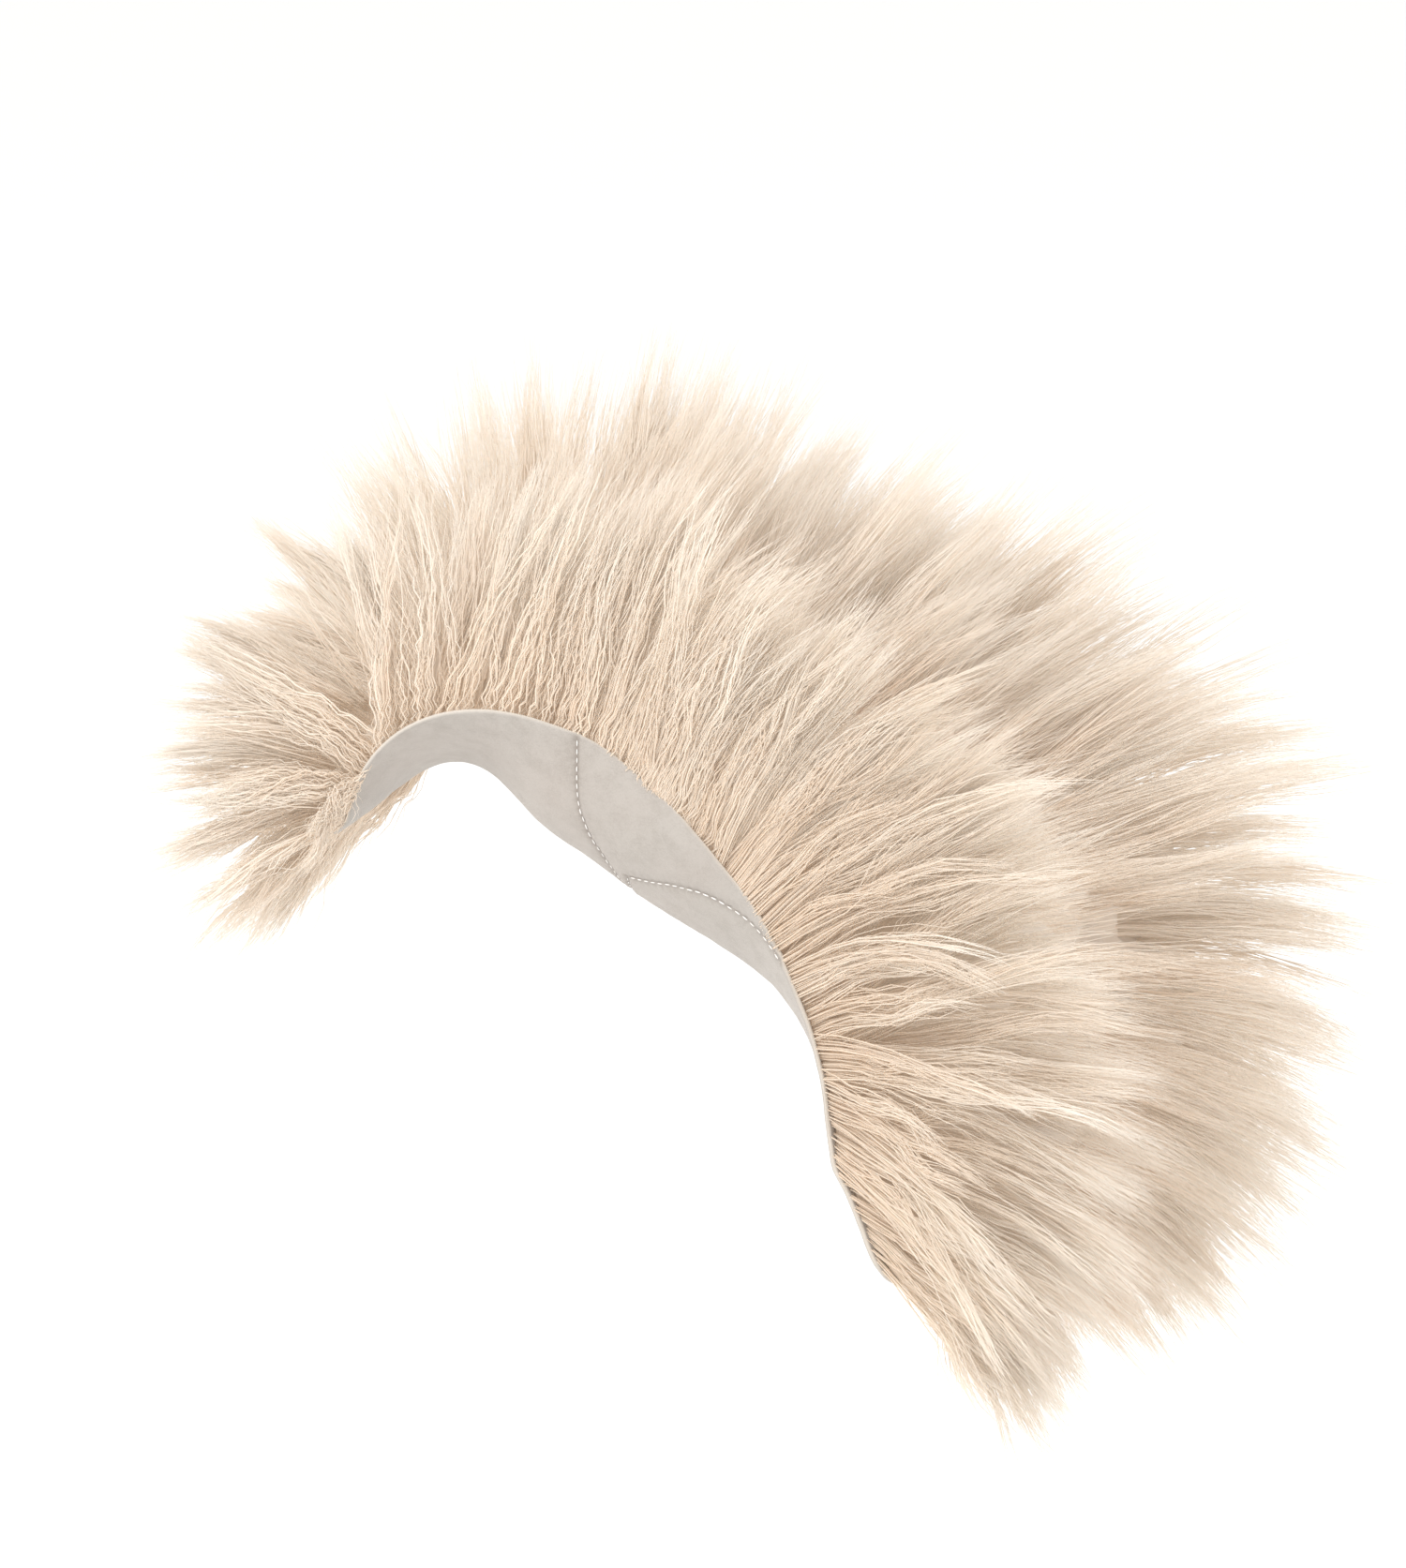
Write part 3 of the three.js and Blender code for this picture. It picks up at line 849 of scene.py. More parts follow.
@dataclass
class SuedePanels:
    """The eleven panels: one net over the whole flat hide, cut apart along its seams and folds."""

    hide: BentHide
    folds: Folds
    cell: float = 3.2
    cell_jitter: float = 0.12
    cell_seed: int = 21
    seam_step: float = 1.15
    seam_rows: tuple[float, ...] = (0.8, 1.7, 2.9)
    edge_step: float = 2.2
    edge_rows: tuple[float, ...] = (0.7, 1.9)
    fold_step: float = 2.5
    row_clearance: float = 0.5
    row_gap: float = 0.6
    grid_clearance: float = 1.2
    grid_gap: float = 0.62
    groove_width: float = 1.5
    pucker: float = 0.22
    pucker_away: float = 2.0
    pucker_width: float = 2.2
    sway: float = 0.7
    tremble: float = 0.12
    round_over: float = 0.45
    edge_bulge: float = 0.35
    sharp_from: float = 48.0
    slow: Ripple = field(default_factory=lambda: Ripple(11, 62.0))
    quick: Ripple = field(default_factory=lambda: Ripple(12, 13.0))

    @cached_property
    def seam_points(self) -> tuple[Array, Array, Array]:
        """The points of all seams, the depths of their grooves, and their places along the seams."""
        lines = [seam.line(self.seam_step) for seam in SEAMS]
        deep = [np.full(len(line), seam.groove) for seam, line in zip(SEAMS, lines)]
        along = [np.arange(len(line)) * self.seam_step for line in lines]
        return np.vstack(lines), np.concatenate(deep), np.concatenate(along)

    def near_seam(self, run: Array, depth: Array) -> tuple[Array, Array, Array]:
        """The nearest seam of each point.

        Args:
            run: Places along the arch.
            depth: Distances from the held edge.

        Returns:
            The distance, the groove's depth and the place along the seam.
        """
        points, deep, along = self.seam_points
        away = np.empty(len(run))
        which = np.empty(len(run), int)
        batch = 4000
        for start in range(0, len(run), batch):
            part = slice(start, start + batch)
            gaps = np.hypot(run[part, None] - points[:, 0], depth[part, None] - points[:, 1])
            which[part] = gaps.argmin(axis=1)
            away[part] = gaps.min(axis=1)
        return away, deep[which], along[which]

    def face_rise(self, run: Array, depth: Array) -> Array:
        """How far the suede face lies towards the wool, with slow waves and a puckered groove at each seam.

        Args:
            run: Places along the arch.
            depth: Distances from the held edge.

        Returns:
            The rises.
        """
        away, deep, along = self.near_seam(run, depth)
        groove = deep * np.exp(-((away / self.groove_width) ** 2))
        beside = np.exp(-(((away - self.pucker_away) / self.pucker_width) ** 2))
        between = np.cos(2.0 * math.pi * along / STITCH_PITCH) * beside
        waves = self.sway * self.slow.at(run, depth) + self.tremble * self.quick.at(run, depth)
        return waves + groove + self.pucker * between

    def _net(self) -> tuple[Array, list[tuple[int, int, int]], set[tuple[int, int]]]:
        """The net over the flat hide.

        Returns:
            Its points, its triangles, and the edges that lie on seams, folds or the outline.
        """
        points: list[Point2] = []
        edges: list[tuple[int, int]] = []

        def add_line(line: list[Point2], closed: bool) -> None:
            """Adds a line's points and the edges between them.

            Args:
                line: The points.
                closed: Whether an edge joins the last point to the first.
            """
            first = len(points)
            points.extend(line)
            edges.extend((first + i, first + i + 1) for i in range(len(line) - 1))
            if closed:
                edges.append((len(points) - 1, first))

        outline = self.hide.outline(self.edge_step)
        add_line(outline, True)
        lines = [seam.line(self.seam_step) for seam in SEAMS]
        for line in lines:
            add_line([tuple(p) for p in line], False)
        for run in (self.hide.left_fold, self.hide.right_fold):
            depths = np.arange(0.0, self.hide.far_edge + 0.1, self.fold_step)
            add_line([(run, depth) for depth in depths], False)
        lead = np.array(points)
        rows = []
        for line in lines:
            rows += self._rows(line, [sign * row for row in self.seam_rows for sign in (-1.0, 1.0)])
        closed = np.array([*outline, outline[0]])
        rows += self._rows(closed, list(self.edge_rows))
        beside = np.vstack(rows)
        beside = beside[self.hide.inside(beside[:, 0], beside[:, 1]) > self.row_clearance]
        beside = self._thinned(beside, lead, self.row_gap)
        grid = self._thinned(self._grid(), np.vstack([lead, beside]), self.grid_gap * self.cell)
        loose = np.vstack([beside, grid])
        flat = [Vector(p) for p in points] + [Vector(p) for p in loose]
        corners, sides, triangles, _, sources, _ = delaunay_2d_cdt(flat, edges, [], 0, 1e-5)
        net = np.array([tuple(corner) for corner in corners])
        kept = []
        for triangle in triangles:
            run, depth = net[list(triangle)].mean(axis=0)
            if self.hide.inside(np.array(run), np.array(depth)) > 1e-3:
                kept.append(tuple(triangle))
        borders = {tuple(sorted(side)) for side, source in zip(sides, sources) if source}
        return net, kept, borders

    @staticmethod
    def _rows(line: Array, offsets: list[float]) -> list[Array]:
        """Rows of points beside a line.

        Args:
            line: The line.
            offsets: How far each row lies to the line's left.

        Returns:
            The rows.
        """
        ahead = np.gradient(line, axis=0)
        left = unit(np.stack([-ahead[:, 1], ahead[:, 0]], axis=1))
        return [line + left * offset for offset in offsets]

    def _grid(self) -> Array:
        """A grid of staggered points over the whole hide."""
        hide = self.hide
        random = np.random.default_rng(self.cell_seed)
        rows = []
        for i, depth in enumerate(np.arange(1.5, hide.far_edge, self.cell * ROW_SHARE)):
            run = np.arange(hide.left_end + 1.0 + (i % 2) * self.cell / 2.0, hide.right_end, self.cell)
            rows.append(np.stack([run, np.full_like(run, depth)], axis=1))
        grid = np.vstack(rows)
        grid += random.uniform(-self.cell_jitter, self.cell_jitter, grid.shape) * self.cell
        return grid[hide.inside(grid[:, 0], grid[:, 1]) > self.grid_clearance]

    @staticmethod
    def _thinned(points: Array, lead: Array, gap: float) -> Array:
        """Leaves out points that lie close to the leading points or to points kept before them.

        Args:
            points: The points.
            lead: The leading points.
            gap: The least distance.

        Returns:
            The points that are kept.
        """
        size = gap / math.sqrt(2.0)
        cells: dict[tuple[int, int], list[Array]] = {}

        def place(point: Array) -> tuple[int, int]:
            """The cell that a point lies in."""
            return int(point[0] // size), int(point[1] // size)

        def is_free(point: Array) -> bool:
            """Whether no point that is kept lies closer than the gap.

            Args:
                point: The point.

            Returns:
                Whether it is free.
            """
            i, j = place(point)
            near = (cells.get((a, b), ()) for a in range(i - 2, i + 3) for b in range(j - 2, j + 3))
            return all(math.dist(point, other) >= gap for group in near for other in group)

        for point in lead:
            cells.setdefault(place(point), []).append(point)
        kept = []
        for point in points:
            if is_free(point):
                cells.setdefault(place(point), []).append(point)
                kept.append(point)
        return np.array(kept)

    @staticmethod
    def _patches(
        triangles: list[tuple[int, int, int]], borders: set[tuple[int, int]]
    ) -> list[list[int]]:
        """The groups of triangles that no border divides.

        Args:
            triangles: The net's triangles.
            borders: The edges that divide them.

        Returns:
            The numbers of the triangles in each group.
        """
        parent = list(range(len(triangles)))

        def root(i: int) -> int:
            """The triangle that stands for the group of triangle i.

            Args:
                i: The triangle's number.

            Returns:
                The number of the one that stands for its group.
            """
            while parent[i] != i:
                parent[i] = parent[parent[i]]
                i = parent[i]
            return i

        seen: dict[tuple[int, int], int] = {}
        for number, triangle in enumerate(triangles):
            for i in range(3):
                edge = tuple(sorted((triangle[i], triangle[(i + 1) % 3])))
                if edge in borders:
                    continue
                if edge in seen:
                    parent[root(number)] = root(seen[edge])
                else:
                    seen[edge] = number
        groups: dict[int, list[int]] = {}
        for number in range(len(triangles)):
            groups.setdefault(root(number), []).append(number)
        return list(groups.values())

    def _panel_mesh(self, net: Array, triangles: Array) -> bpy.types.Mesh:
        """The closed mesh of one panel.

        Args:
            net: The net's points.
            triangles: The panel's triangles, anticlockwise in run and depth.

        Returns:
            The mesh, with its suede face, its wool face and its walls.
        """
        used, local = np.unique(triangles, return_inverse=True)
        local = local.reshape(-1, 3)
        run, depth = net[used].T
        count = len(used)
        edges: dict[tuple[int, int], int] = {}
        for a, b, c in local:
            for pair in ((a, b), (b, c), (c, a)):
                edges[pair] = edges.get(pair, 0) + 1
        walls = [pair for pair in edges if (pair[1], pair[0]) not in edges]
        on_wall = np.zeros(count)
        on_wall[[pair[0] for pair in walls]] = 1.0
        rim = (self.hide.inside(run, depth) < 0.05) * on_wall
        rise = self.face_rise(run, depth)
        suede = self.hide.point(run, depth, rise + rim * self.round_over)
        wool = self.hide.point(run, depth, rise + self.hide.thickness - rim * self.round_over)
        middle = self.hide.point(run, depth, rise + self.hide.thickness / 2.0)
        drawn_in = self.hide.point(*self._drawn_in(run, depth), np.zeros(count))
        outward = self.hide.point(run, depth, 0.0) - drawn_in
        middle = middle + outward * self.edge_bulge * rim[:, None]
        faces = [(a, c, b) for a, b, c in local]
        faces += [(a + count, b + count, c + count) for a, b, c in local]
        for a, b in walls:
            faces.append((a, b, b + 2 * count, a + 2 * count))
            faces.append((a + 2 * count, b + 2 * count, b + count, a + count))
        places = np.vstack([suede, wool, middle]) * MM
        on_all = np.concatenate([np.ones(2 * count, bool), on_wall > 0])
        number = np.cumsum(on_all) - 1
        mesh = bpy.data.meshes.new("panel")
        mesh.from_pydata(places[on_all].tolist(), [], [[int(number[v]) for v in face] for face in faces])
        shade = np.tile(self._seam_shade(run, depth), 3)[on_all]
        cut = np.concatenate([rim * 0.35, rim, rim])[on_all]
        set_numbers(mesh, seam_shade=shade, cut_edge=cut)
        mesh.shade_smooth()
        mesh.set_sharp_from_angle(angle=math.radians(self.sharp_from))
        return mesh

    def _seam_shade(self, run: Array, depth: Array) -> Array:
        """How much darker the suede is near a seam: most in it, in pits between the stitches.

        Args:
            run: Places along the arch.
            depth: Distances from the held edge.

        Returns:
            The shades, from 0 to about 1.
        """
        away, deep, along = self.near_seam(run, depth)
        pits = 0.65 + 0.35 * np.cos(2.0 * math.pi * (along / STITCH_PITCH + 0.5))
        close, wide = (np.exp(-((away / width) ** 2)) for width in (1.25, 4.5))
        return deep * (close * pits + 0.22 * wide)

    def _drawn_in(self, run: Array, depth: Array) -> tuple[Array, Array]:
        """The points moved 1 mm towards the inside of the hide.

        Args:
            run: Places along the arch.
            depth: Distances from the held edge.

        Returns:
            The moved places and distances.
        """
        step = 0.5
        inside = self.hide.inside
        slope_run = (inside(run + step, depth) - inside(run - step, depth)) / (2 * step)
        slope_depth = (inside(run, depth + step) - inside(run, depth - step)) / (2 * step)
        return run + slope_run, depth + slope_depth

    def build(self, material: bpy.types.Material) -> list[bpy.types.Object]:
        """Makes the panels and dresses them; the centre panels ride on the centre body.

        Args:
            material: The suede.

        Returns:
            The panels.
        """
        net, triangles, borders = self._net()
        made = []
        table = np.array(triangles)
        for patch in self._patches(triangles, borders):
            corners = net[table[patch]]
            name = next((n for n, seed in PANEL_SEEDS.items() if self._holds(corners, seed)), None)
            if name is None:
                LOG.warning("a patch of %d triangles has no panel", len(patch))
                continue
            mesh = self._panel_mesh(net, table[patch])
            mesh.materials.append(material)
            piece = new_piece(f"suede_{name}", mesh)
            self._attach(piece, name, corners)
            made.append(piece)
        return made

    @staticmethod
    def _holds(corners: Array, seed: Point2) -> bool:
        """Whether one of some triangles holds a point.

        Args:
            corners: The corners of each triangle.
            seed: The point.

        Returns:
            Whether one holds it.
        """
        a, b, c = (corners[:, i] for i in range(3))
        run, depth = seed

        def side(p: Array, q: Array) -> Array:
            """Positive where the point lies to the left of the line from p to q."""
            return (q[:, 0] - p[:, 0]) * (depth - p[:, 1]) - (q[:, 1] - p[:, 1]) * (run - p[:, 0])

        signs = np.stack([side(a, b), side(b, c), side(c, a)])
        return bool(np.any(np.all(signs >= 0, axis=0)))

    def _attach(self, piece: bpy.types.Object, name: str, corners: Array) -> None:
        """Hides the solid that a panel replaces, puts a centre panel on the centre body and bakes a flap
        panel's placement; the panel's area is worked out but not used.

        Args:
            piece: The panel.
            name: Its name, without what all panels share.
            corners: The corners of its triangles on the flat hide.
        """
        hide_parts(f"hide_panel_{name}")
        if name.startswith("left_flap"):
            self.folds.bend(piece, Body.LEFT)
        elif name.startswith("right_flap"):
            self.folds.bend(piece, Body.RIGHT)
        else:
            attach(piece, Body.CENTRE.value)
        first, second = corners[:, 1] - corners[:, 0], corners[:, 2] - corners[:, 0]
        area = float(np.abs(first[:, 0] * second[:, 1] - first[:, 1] * second[:, 0]).sum() / 2.0) * MM**2


@dataclass
class SeamThreads:
    """The running stitches, one thread for each seam."""

    hide: BentHide
    panels: SuedePanels
    folds: Folds
    stitch: float = 3.1
    width: float = 0.62
    pitch: float = STITCH_PITCH
    line_step: float = 0.2
    look_ahead: float = 0.6
    pressed_in: float = 0.12
    seed: int = 31

    def _stitch_tree(self, material: bpy.types.Material) -> GeometryGraph:
        """The tree that lays one stitch on each point.

        Args:
            material: The thread.

        Returns:
            The tree.
        """
        inputs = {
            "Length": self.stitch * MM,
            "Width": self.width * MM,
            "Seed": self.seed,
            "Material": material,
        }
        graph = GeometryGraph("stitches", inputs)
        ball = {"Segments": 8, "Rings": 6, "Radius": 0.5}
        shape = graph.node("GeometryNodeMeshUVSphere", {}, ball).outputs[0]
        length, width = graph.given["Length"], graph.given["Width"]
        size = graph.node("ShaderNodeCombineXYZ", {}, {0: length, 1: width, 2: width}).outputs[0]
        sized = graph.node("GeometryNodeTransform", {}, {"Geometry": shape, "Scale": size}).outputs[0]
        turn = graph.node(
            "FunctionNodeAxesToRotation",
            {"primary_axis": "X", "secondary_axis": "Z"},
            {0: graph.named("along", "FLOAT_VECTOR"), 1: graph.named("out", "FLOAT_VECTOR")},
        ).outputs[0]
        span = {"Min": 0.88, "Max": 1.08, "Seed": graph.given["Seed"]}
        vary = graph.node("FunctionNodeRandomValue", {"data_type": "FLOAT"}, span).outputs[1]
        laid = graph.node(
            "GeometryNodeInstanceOnPoints",
            {},
            {"Points": graph.given["Geometry"], "Instance": sized, "Rotation": turn, "Scale": vary},
        ).outputs[0]
        graph.close(laid)
        return graph

    def build(self, material: bpy.types.Material) -> list[bpy.types.Object]:
        """Sews every seam.

        Args:
            material: The thread.

        Returns:
            The threads.
        """
        made = []
        for seam in SEAMS:
            line = seam.line(self.line_step)
            gone = np.concatenate([[0.0], np.cumsum(np.linalg.norm(np.diff(line, axis=0), axis=1))])
            at = np.arange(seam.ends[0] + self.pitch / 2, gone[-1] - seam.ends[1], self.pitch)
            run, depth = (np.interp(at, gone, line[:, i]) for i in range(2))
            ahead = [np.interp(at + self.look_ahead, gone, line[:, i]) for i in range(2)]
            rise = self.panels.face_rise(run, depth) - seam.groove + seam.sunk - self.pressed_in
            places = self.hide.point(run, depth, rise)
            along = unit(self.hide.point(*ahead, rise) - places)
            mesh = bpy.data.meshes.new("stitch_points")
            mesh.from_pydata((places * MM).tolist(), [], [])
            out = self.hide.frame(run, depth).out
            for key, values in (("along", along), ("out", out)):
                attribute = mesh.attributes.new(key, "FLOAT_VECTOR", "POINT")
                attribute.data.foreach_set("vector", values.ravel().astype(np.float32))
            points = bpy.data.objects.new("stitch_points", mesh)
            bpy.context.scene.collection.objects.link(points)
            stitched = self._stitch_tree(material).run_on(points)
            piece = new_piece(f"stitches_{seam.name}", stitched)
            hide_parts(f"seam_thread_{seam.name}")
            if seam.body is Body.CENTRE:
                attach(piece, Body.CENTRE.value)
            else:
                self.folds.bend(piece, seam.body)
            made.append(piece)
            LOG.info("%s: %d stitches", piece.name, len(at))
        return made


# ---------------------------------------------------------------- the wool


@dataclass(frozen=True)
class WoolRule:
    """How long the wool is and which way it leaves the hide."""

    hide: BentHide
    sag: float = 0.5
    parting: float = 84.0
    parting_width: float = 56.0
    hang: float = 240.0
    spill_depth: float = 15.0
    left_spill: Swing = Swing(1.0, -2.0, -14.0)
    right_spill: Swing = Swing(1.0, 150.0, 70.0)
    right_spill_turn: float = -78.0
    right_spill_share: float = 0.35
    crest: Swing = Swing(1.0, 40.0, 60.0)
    shortest: float = 92.0
    lengthening: Swing = Swing(82.0, -46.0, 130.0)
    shortening: Swing = Swing(-68.0, 205.0, 120.0)
    longer_behind: float = 26.0
    longer_right: Swing = Swing(26.0, 130.0, 120.0)
    behind_from: float = 0.7
    fan: tuple[Swing, ...] = (
        Swing(40.0, 0.0, -46.0),
        Swing(34.0, -8.0, -38.0),
        Swing(16.0, 30.0, -60.0),
        Swing(20.0, -10.0, 70.0, end=50.0, fade=130.0),
        Swing(-58.0, 170.0, 156.0),
        Swing(-8.0, 250.0, 76.0),
    )
    grip_lean: Swing = Swing(-0.9, 8.0, -44.0)
    far_lean: Swing = Swing(0.7, 210.0, 90.0)

    def length(self, run: Array, t: Array) -> Array:
        """The length of the wool.

        Args:
            run: Places along the arch.
            t: 0 at the held edge and 1 at the far edge.

        Returns:
            The lengths in millimetres.
        """
        growing = self.shortest + self.lengthening.at(run) + self.shortening.at(run)
        behind = self.longer_behind + self.longer_right.at(run)
        return growing + behind * ease(t / self.behind_from)

    def spill(self, depth: Array) -> Array:
        """How much the wool hangs over the held edge at distances from it."""
        return 1.0 - ease(depth / self.spill_depth)

    def direction(self, run: Array, depth: Array, at: Placement) -> Array:
        """The directions in which the wool leaves the hide.

        Args:
            run: Places along the arch.
            depth: Distances from the held edge.
            at: The same points, bent.

        Returns:
            Unit vectors.
        """
        spill = self.spill(depth)
        left_spill = spill * self.left_spill.at(run)
        right_spill = spill * self.right_spill.at(run)
        fan = sum(swing.at(run) for swing in self.fan)
        share = self.right_spill_share
        fan = fan * (1.0 - share * right_spill) + self.right_spill_turn * share * right_spill
        angle = math.pi / 2 + at.slope + np.radians(fan)
        angle += left_spill * (math.radians(self.hang) - angle)
        forward = self.grip_lean.at(run) * (1.0 - ease(depth / 200.0)) * np.cos(at.tilt) ** 2
        forward -= 0.45 * right_spill + 0.5 * left_spill
        crest = self.crest.at(run)
        behind = ease((depth - self.parting + self.parting_width / 2.0) / self.parting_width)
        lip = 0.25 * np.sin(at.tilt) * (1.0 - crest)
        backward = lip + 0.35 * ease(depth / self.hide.far_edge) * (1.0 - crest)
        backward += crest * (0.52 * behind - 0.16) + self.far_lean.at(depth)
        return unit(np.stack([np.cos(angle), forward + backward, np.sin(angle)], axis=-1))

    @staticmethod
    def grown(direction: Array, length: Array, sag: Array, shares: Array) -> Array:
        """How far strands have come from their roots at shares of their length.

        Args:
            direction: The direction of each strand at its root.
            length: The length of each strand.
            sag: How strongly each strand turns down towards its tip.
            shares: For each strand, rising shares of its length.

        Returns:
            For each strand and share, a vector from the root.
        """
        before = np.concatenate([np.zeros((len(shares), 1)), shares[:, :-1]], axis=1)
        total = np.zeros((*shares.shape, 3))
        for part in (0.25, 0.75):
            at = before + (shares - before) * part
            way = np.repeat(direction[:, None, :], shares.shape[1], axis=1)
            way[..., 2] -= sag[:, None] * at
            total += unit(way) * ((shares - before) * length[:, None] / 2.0)[..., None]
        return np.cumsum(total, axis=1)


@dataclass(frozen=True)
class WoolZone:
    """One field of the hide and the wool that grows on it."""

    run_name: str
    depth_name: str
    runs: Point2
    depths: Point2
    triangles: int

    @property
    def name(self) -> str:
        """The zone's name, as its solid has it."""
        return f"{self.run_name}_{self.depth_name}"


@dataclass(frozen=True)
class StrandGroup:
    """Strands of one zone that are made alike.

    points is how many each centreline has, start the share of the length at which it starts, crimp the size
    of the crimp near the skin in millimetres, and part the group's share of the zone's triangles.
    """

    locks: Array
    points: int
    start: float
    crimp: float
    part: float


@dataclass
class Fleece:
    """The wool: locks of strands that grow from the hide in tufts, over a dense underwool."""

    hide: BentHide
    rule: WoolRule
    folds: Folds
    run_lines: tuple[float, ...] = (-46.0, -12.0, 70.0, 152.0, 236.0, 326.0)
    depth_lines: tuple[float, ...] = (0.0, 100.0, 200.0, 300.0)
    run_names: tuple[str, ...] = ("left_flap", "thumb_side", "crown", "shoulder", "right_flap")
    depth_names: tuple[str, ...] = ("front", "middle", "rear")
    budgets: tuple[int, ...] = (156000, 104000, 104000)
    tuft_gap: float = 13.0
    lock_gap: float = 5.4
    scatter: float = 0.34
    room: tuple[Point2, ...] = ((-262.0, 344.0), (-86.0, 488.0), (-358.0, 158.0))
    soft_end: float = 14.0
    strand_radius: float = 0.42
    strand_sides: int = 3
    rooted: float = 0.35
    skin_edge: float = 7.0
    free_share: float = 0.3
    free_thinness: float = 0.6
    to_lock: float = 0.6
    to_tuft: float = 0.18
    stray_free: float = 5.5
    stray_bound: float = 1.8
    tremble: float = 0.75
    crimp_length: float = 9.0
    # Painted shade: strand tones are lowered in a valley behind the parting, where the front locks shade the
    # wool behind them.
    valley_offset: float = 26.0
    valley_width: float = 28.0
    valley_shade_strength: float = 2.1
    shaggy_edge: float = 18.0
    outer_width: float = 30.0
    curly_depth: float = 26.0
    curly_runs: Point2 = (-24.0, 132.0)
    core_inset: float = 1.2
    core_rim: float = 6.0
    core_lift: float = 0.3
    # core tone: the underwool is a little darker than the locks, painted shade inside the fleece.
    core_shaded_tone: float = 0.4
    seed: int = 5

    def zones(self) -> list[WoolZone]:
        """The fifteen zones."""
        made = []
        for i, run_name in enumerate(self.run_names):
            for j, depth_name in enumerate(self.depth_names):
                runs = (self.run_lines[i], self.run_lines[i + 1])
                depths = (self.depth_lines[j], self.depth_lines[j + 1])
                made.append(WoolZone(run_name, depth_name, runs, depths, self.budgets[j]))
        return made

    def _scatter(self, gap: float, random: np.random.Generator) -> Array:
        """Points strewn evenly over the flat hide.

        Args:
            gap: The distance between them.
            random: Where the scatter comes from.

        Returns:
            Their runs and depths.
        """
        hide = self.hide
        rows = []
        for i, depth in enumerate(np.arange(gap * 0.3, hide.far_edge, gap * ROW_SHARE)):
            run = np.arange(hide.left_end + (0.25 + (i % 2) / 2.0) * gap, hide.right_end, gap)
            rows.append(np.stack([run, np.full_like(run, depth)], axis=1))
        points = np.vstack(rows)
        points += random.uniform(-self.scatter, self.scatter, points.shape) * gap
        return points[hide.inside(points[:, 0], points[:, 1]) > 1.0]

    def _zone_mask(self, zone: WoolZone, points: Array) -> Array:
        """Which points of the flat hide lie in a zone.

        Args:
            zone: The zone.
            points: The points' runs and depths.

        Returns:
            Whether each lies in it.
        """
        run, depth = points.T
        near, far = self.hide.depth_span(run)
        share = (depth - near) / np.maximum(far - near, 1.0) * self.hide.far_edge
        in_run = (run >= zone.runs[0]) & (run < zone.runs[1])
        return in_run & (share >= zone.depths[0]) & (share < zone.depths[1] + 1e-6)

    @cached_property
    def tufts(self) -> dict[str, Array]:
        """The tufts: their roots, directions, lengths and sag."""
        random = np.random.default_rng(self.seed)
        roots = self._scatter(self.tuft_gap, random)
        run, depth = roots.T
        at = self.hide.frame(run, depth)
        direction = self.rule.direction(run, depth, at)
        sway = np.stack([Ripple(40 + i, 70.0).at(run, depth) for i in range(3)], axis=1) * 0.075
        sway += random.normal(0.0, 0.026, (len(run), 3))
        length = self.rule.length(run, at.t) * (0.97 + 0.05 * Ripple(45, 40.0).at(run, depth))
        behind = depth - self.rule.parting
        length *= 1.0 + 0.13 * ease((behind + 10.0) / 40.0)
        length *= 1.0 - 0.26 * self.rule.crest.at(run) * np.exp(-(((behind - 20.0) / 22.0) ** 2))
        length *= 1.0 + Swing(0.13, 40.0, -60.0).at(run) + Swing(0.07, 236.0, 60.0).at(run)
        short = 0.74 - Swing(0.1, self.hide.left_end, 34.0).at(run)
        length *= 1.0 - short * self.rule.left_spill.at(run) * self.rule.spill(depth)
        return {
            "root": roots,
            "place": self.hide.point(run, depth, self.hide.thickness),
            "direction": unit(direction + sway),
            "length": length * random.uniform(0.93, 1.04, len(run)),
            "sag": self.rule.sag * random.uniform(0.75, 1.35, len(run)),
        }

    @cached_property
    def locks(self) -> dict[str, Array]:
        """The locks: their roots, the tuft that each belongs to, and how each differs from its tuft."""
        random = np.random.default_rng(self.seed + 1)
        roots = self._scatter(self.lock_gap, random)
        gaps = np.hypot(*(roots[:, None, :] - self.tufts["root"][None]).transpose(2, 0, 1))
        count = len(roots)
        edge = self.hide.inside(roots[:, 0], roots[:, 1])
        behind = roots[:, 1] - self.rule.parting - self.valley_offset
        shaggy, even = random.uniform(0.46, 1.04, count), random.uniform(0.89, 1.03, count)
        return {
            "root": roots,
            "tuft": gaps.argmin(axis=1),
            "reach": np.where(edge < self.shaggy_edge, shaggy, even),
            "drift": random.normal(0.0, 1.0, (count, 3)) * np.array([3.2, 3.0, 3.2]),
            "tone": random.uniform(0.1, 1.0, count),
            "phase": random.uniform(0.0, 2.0 * math.pi, count),
            "turns": random.uniform(0.7, 1.5, count),
            "wave": random.uniform(1.6, 4.6, count),
            "edge": edge,
            # valley: how much painted shade falls on a lock behind the parting.
            "valley": ease((roots[:, 0] - 30.0) / 60.0) * np.exp(-((behind / self.valley_width) ** 2)),
        }

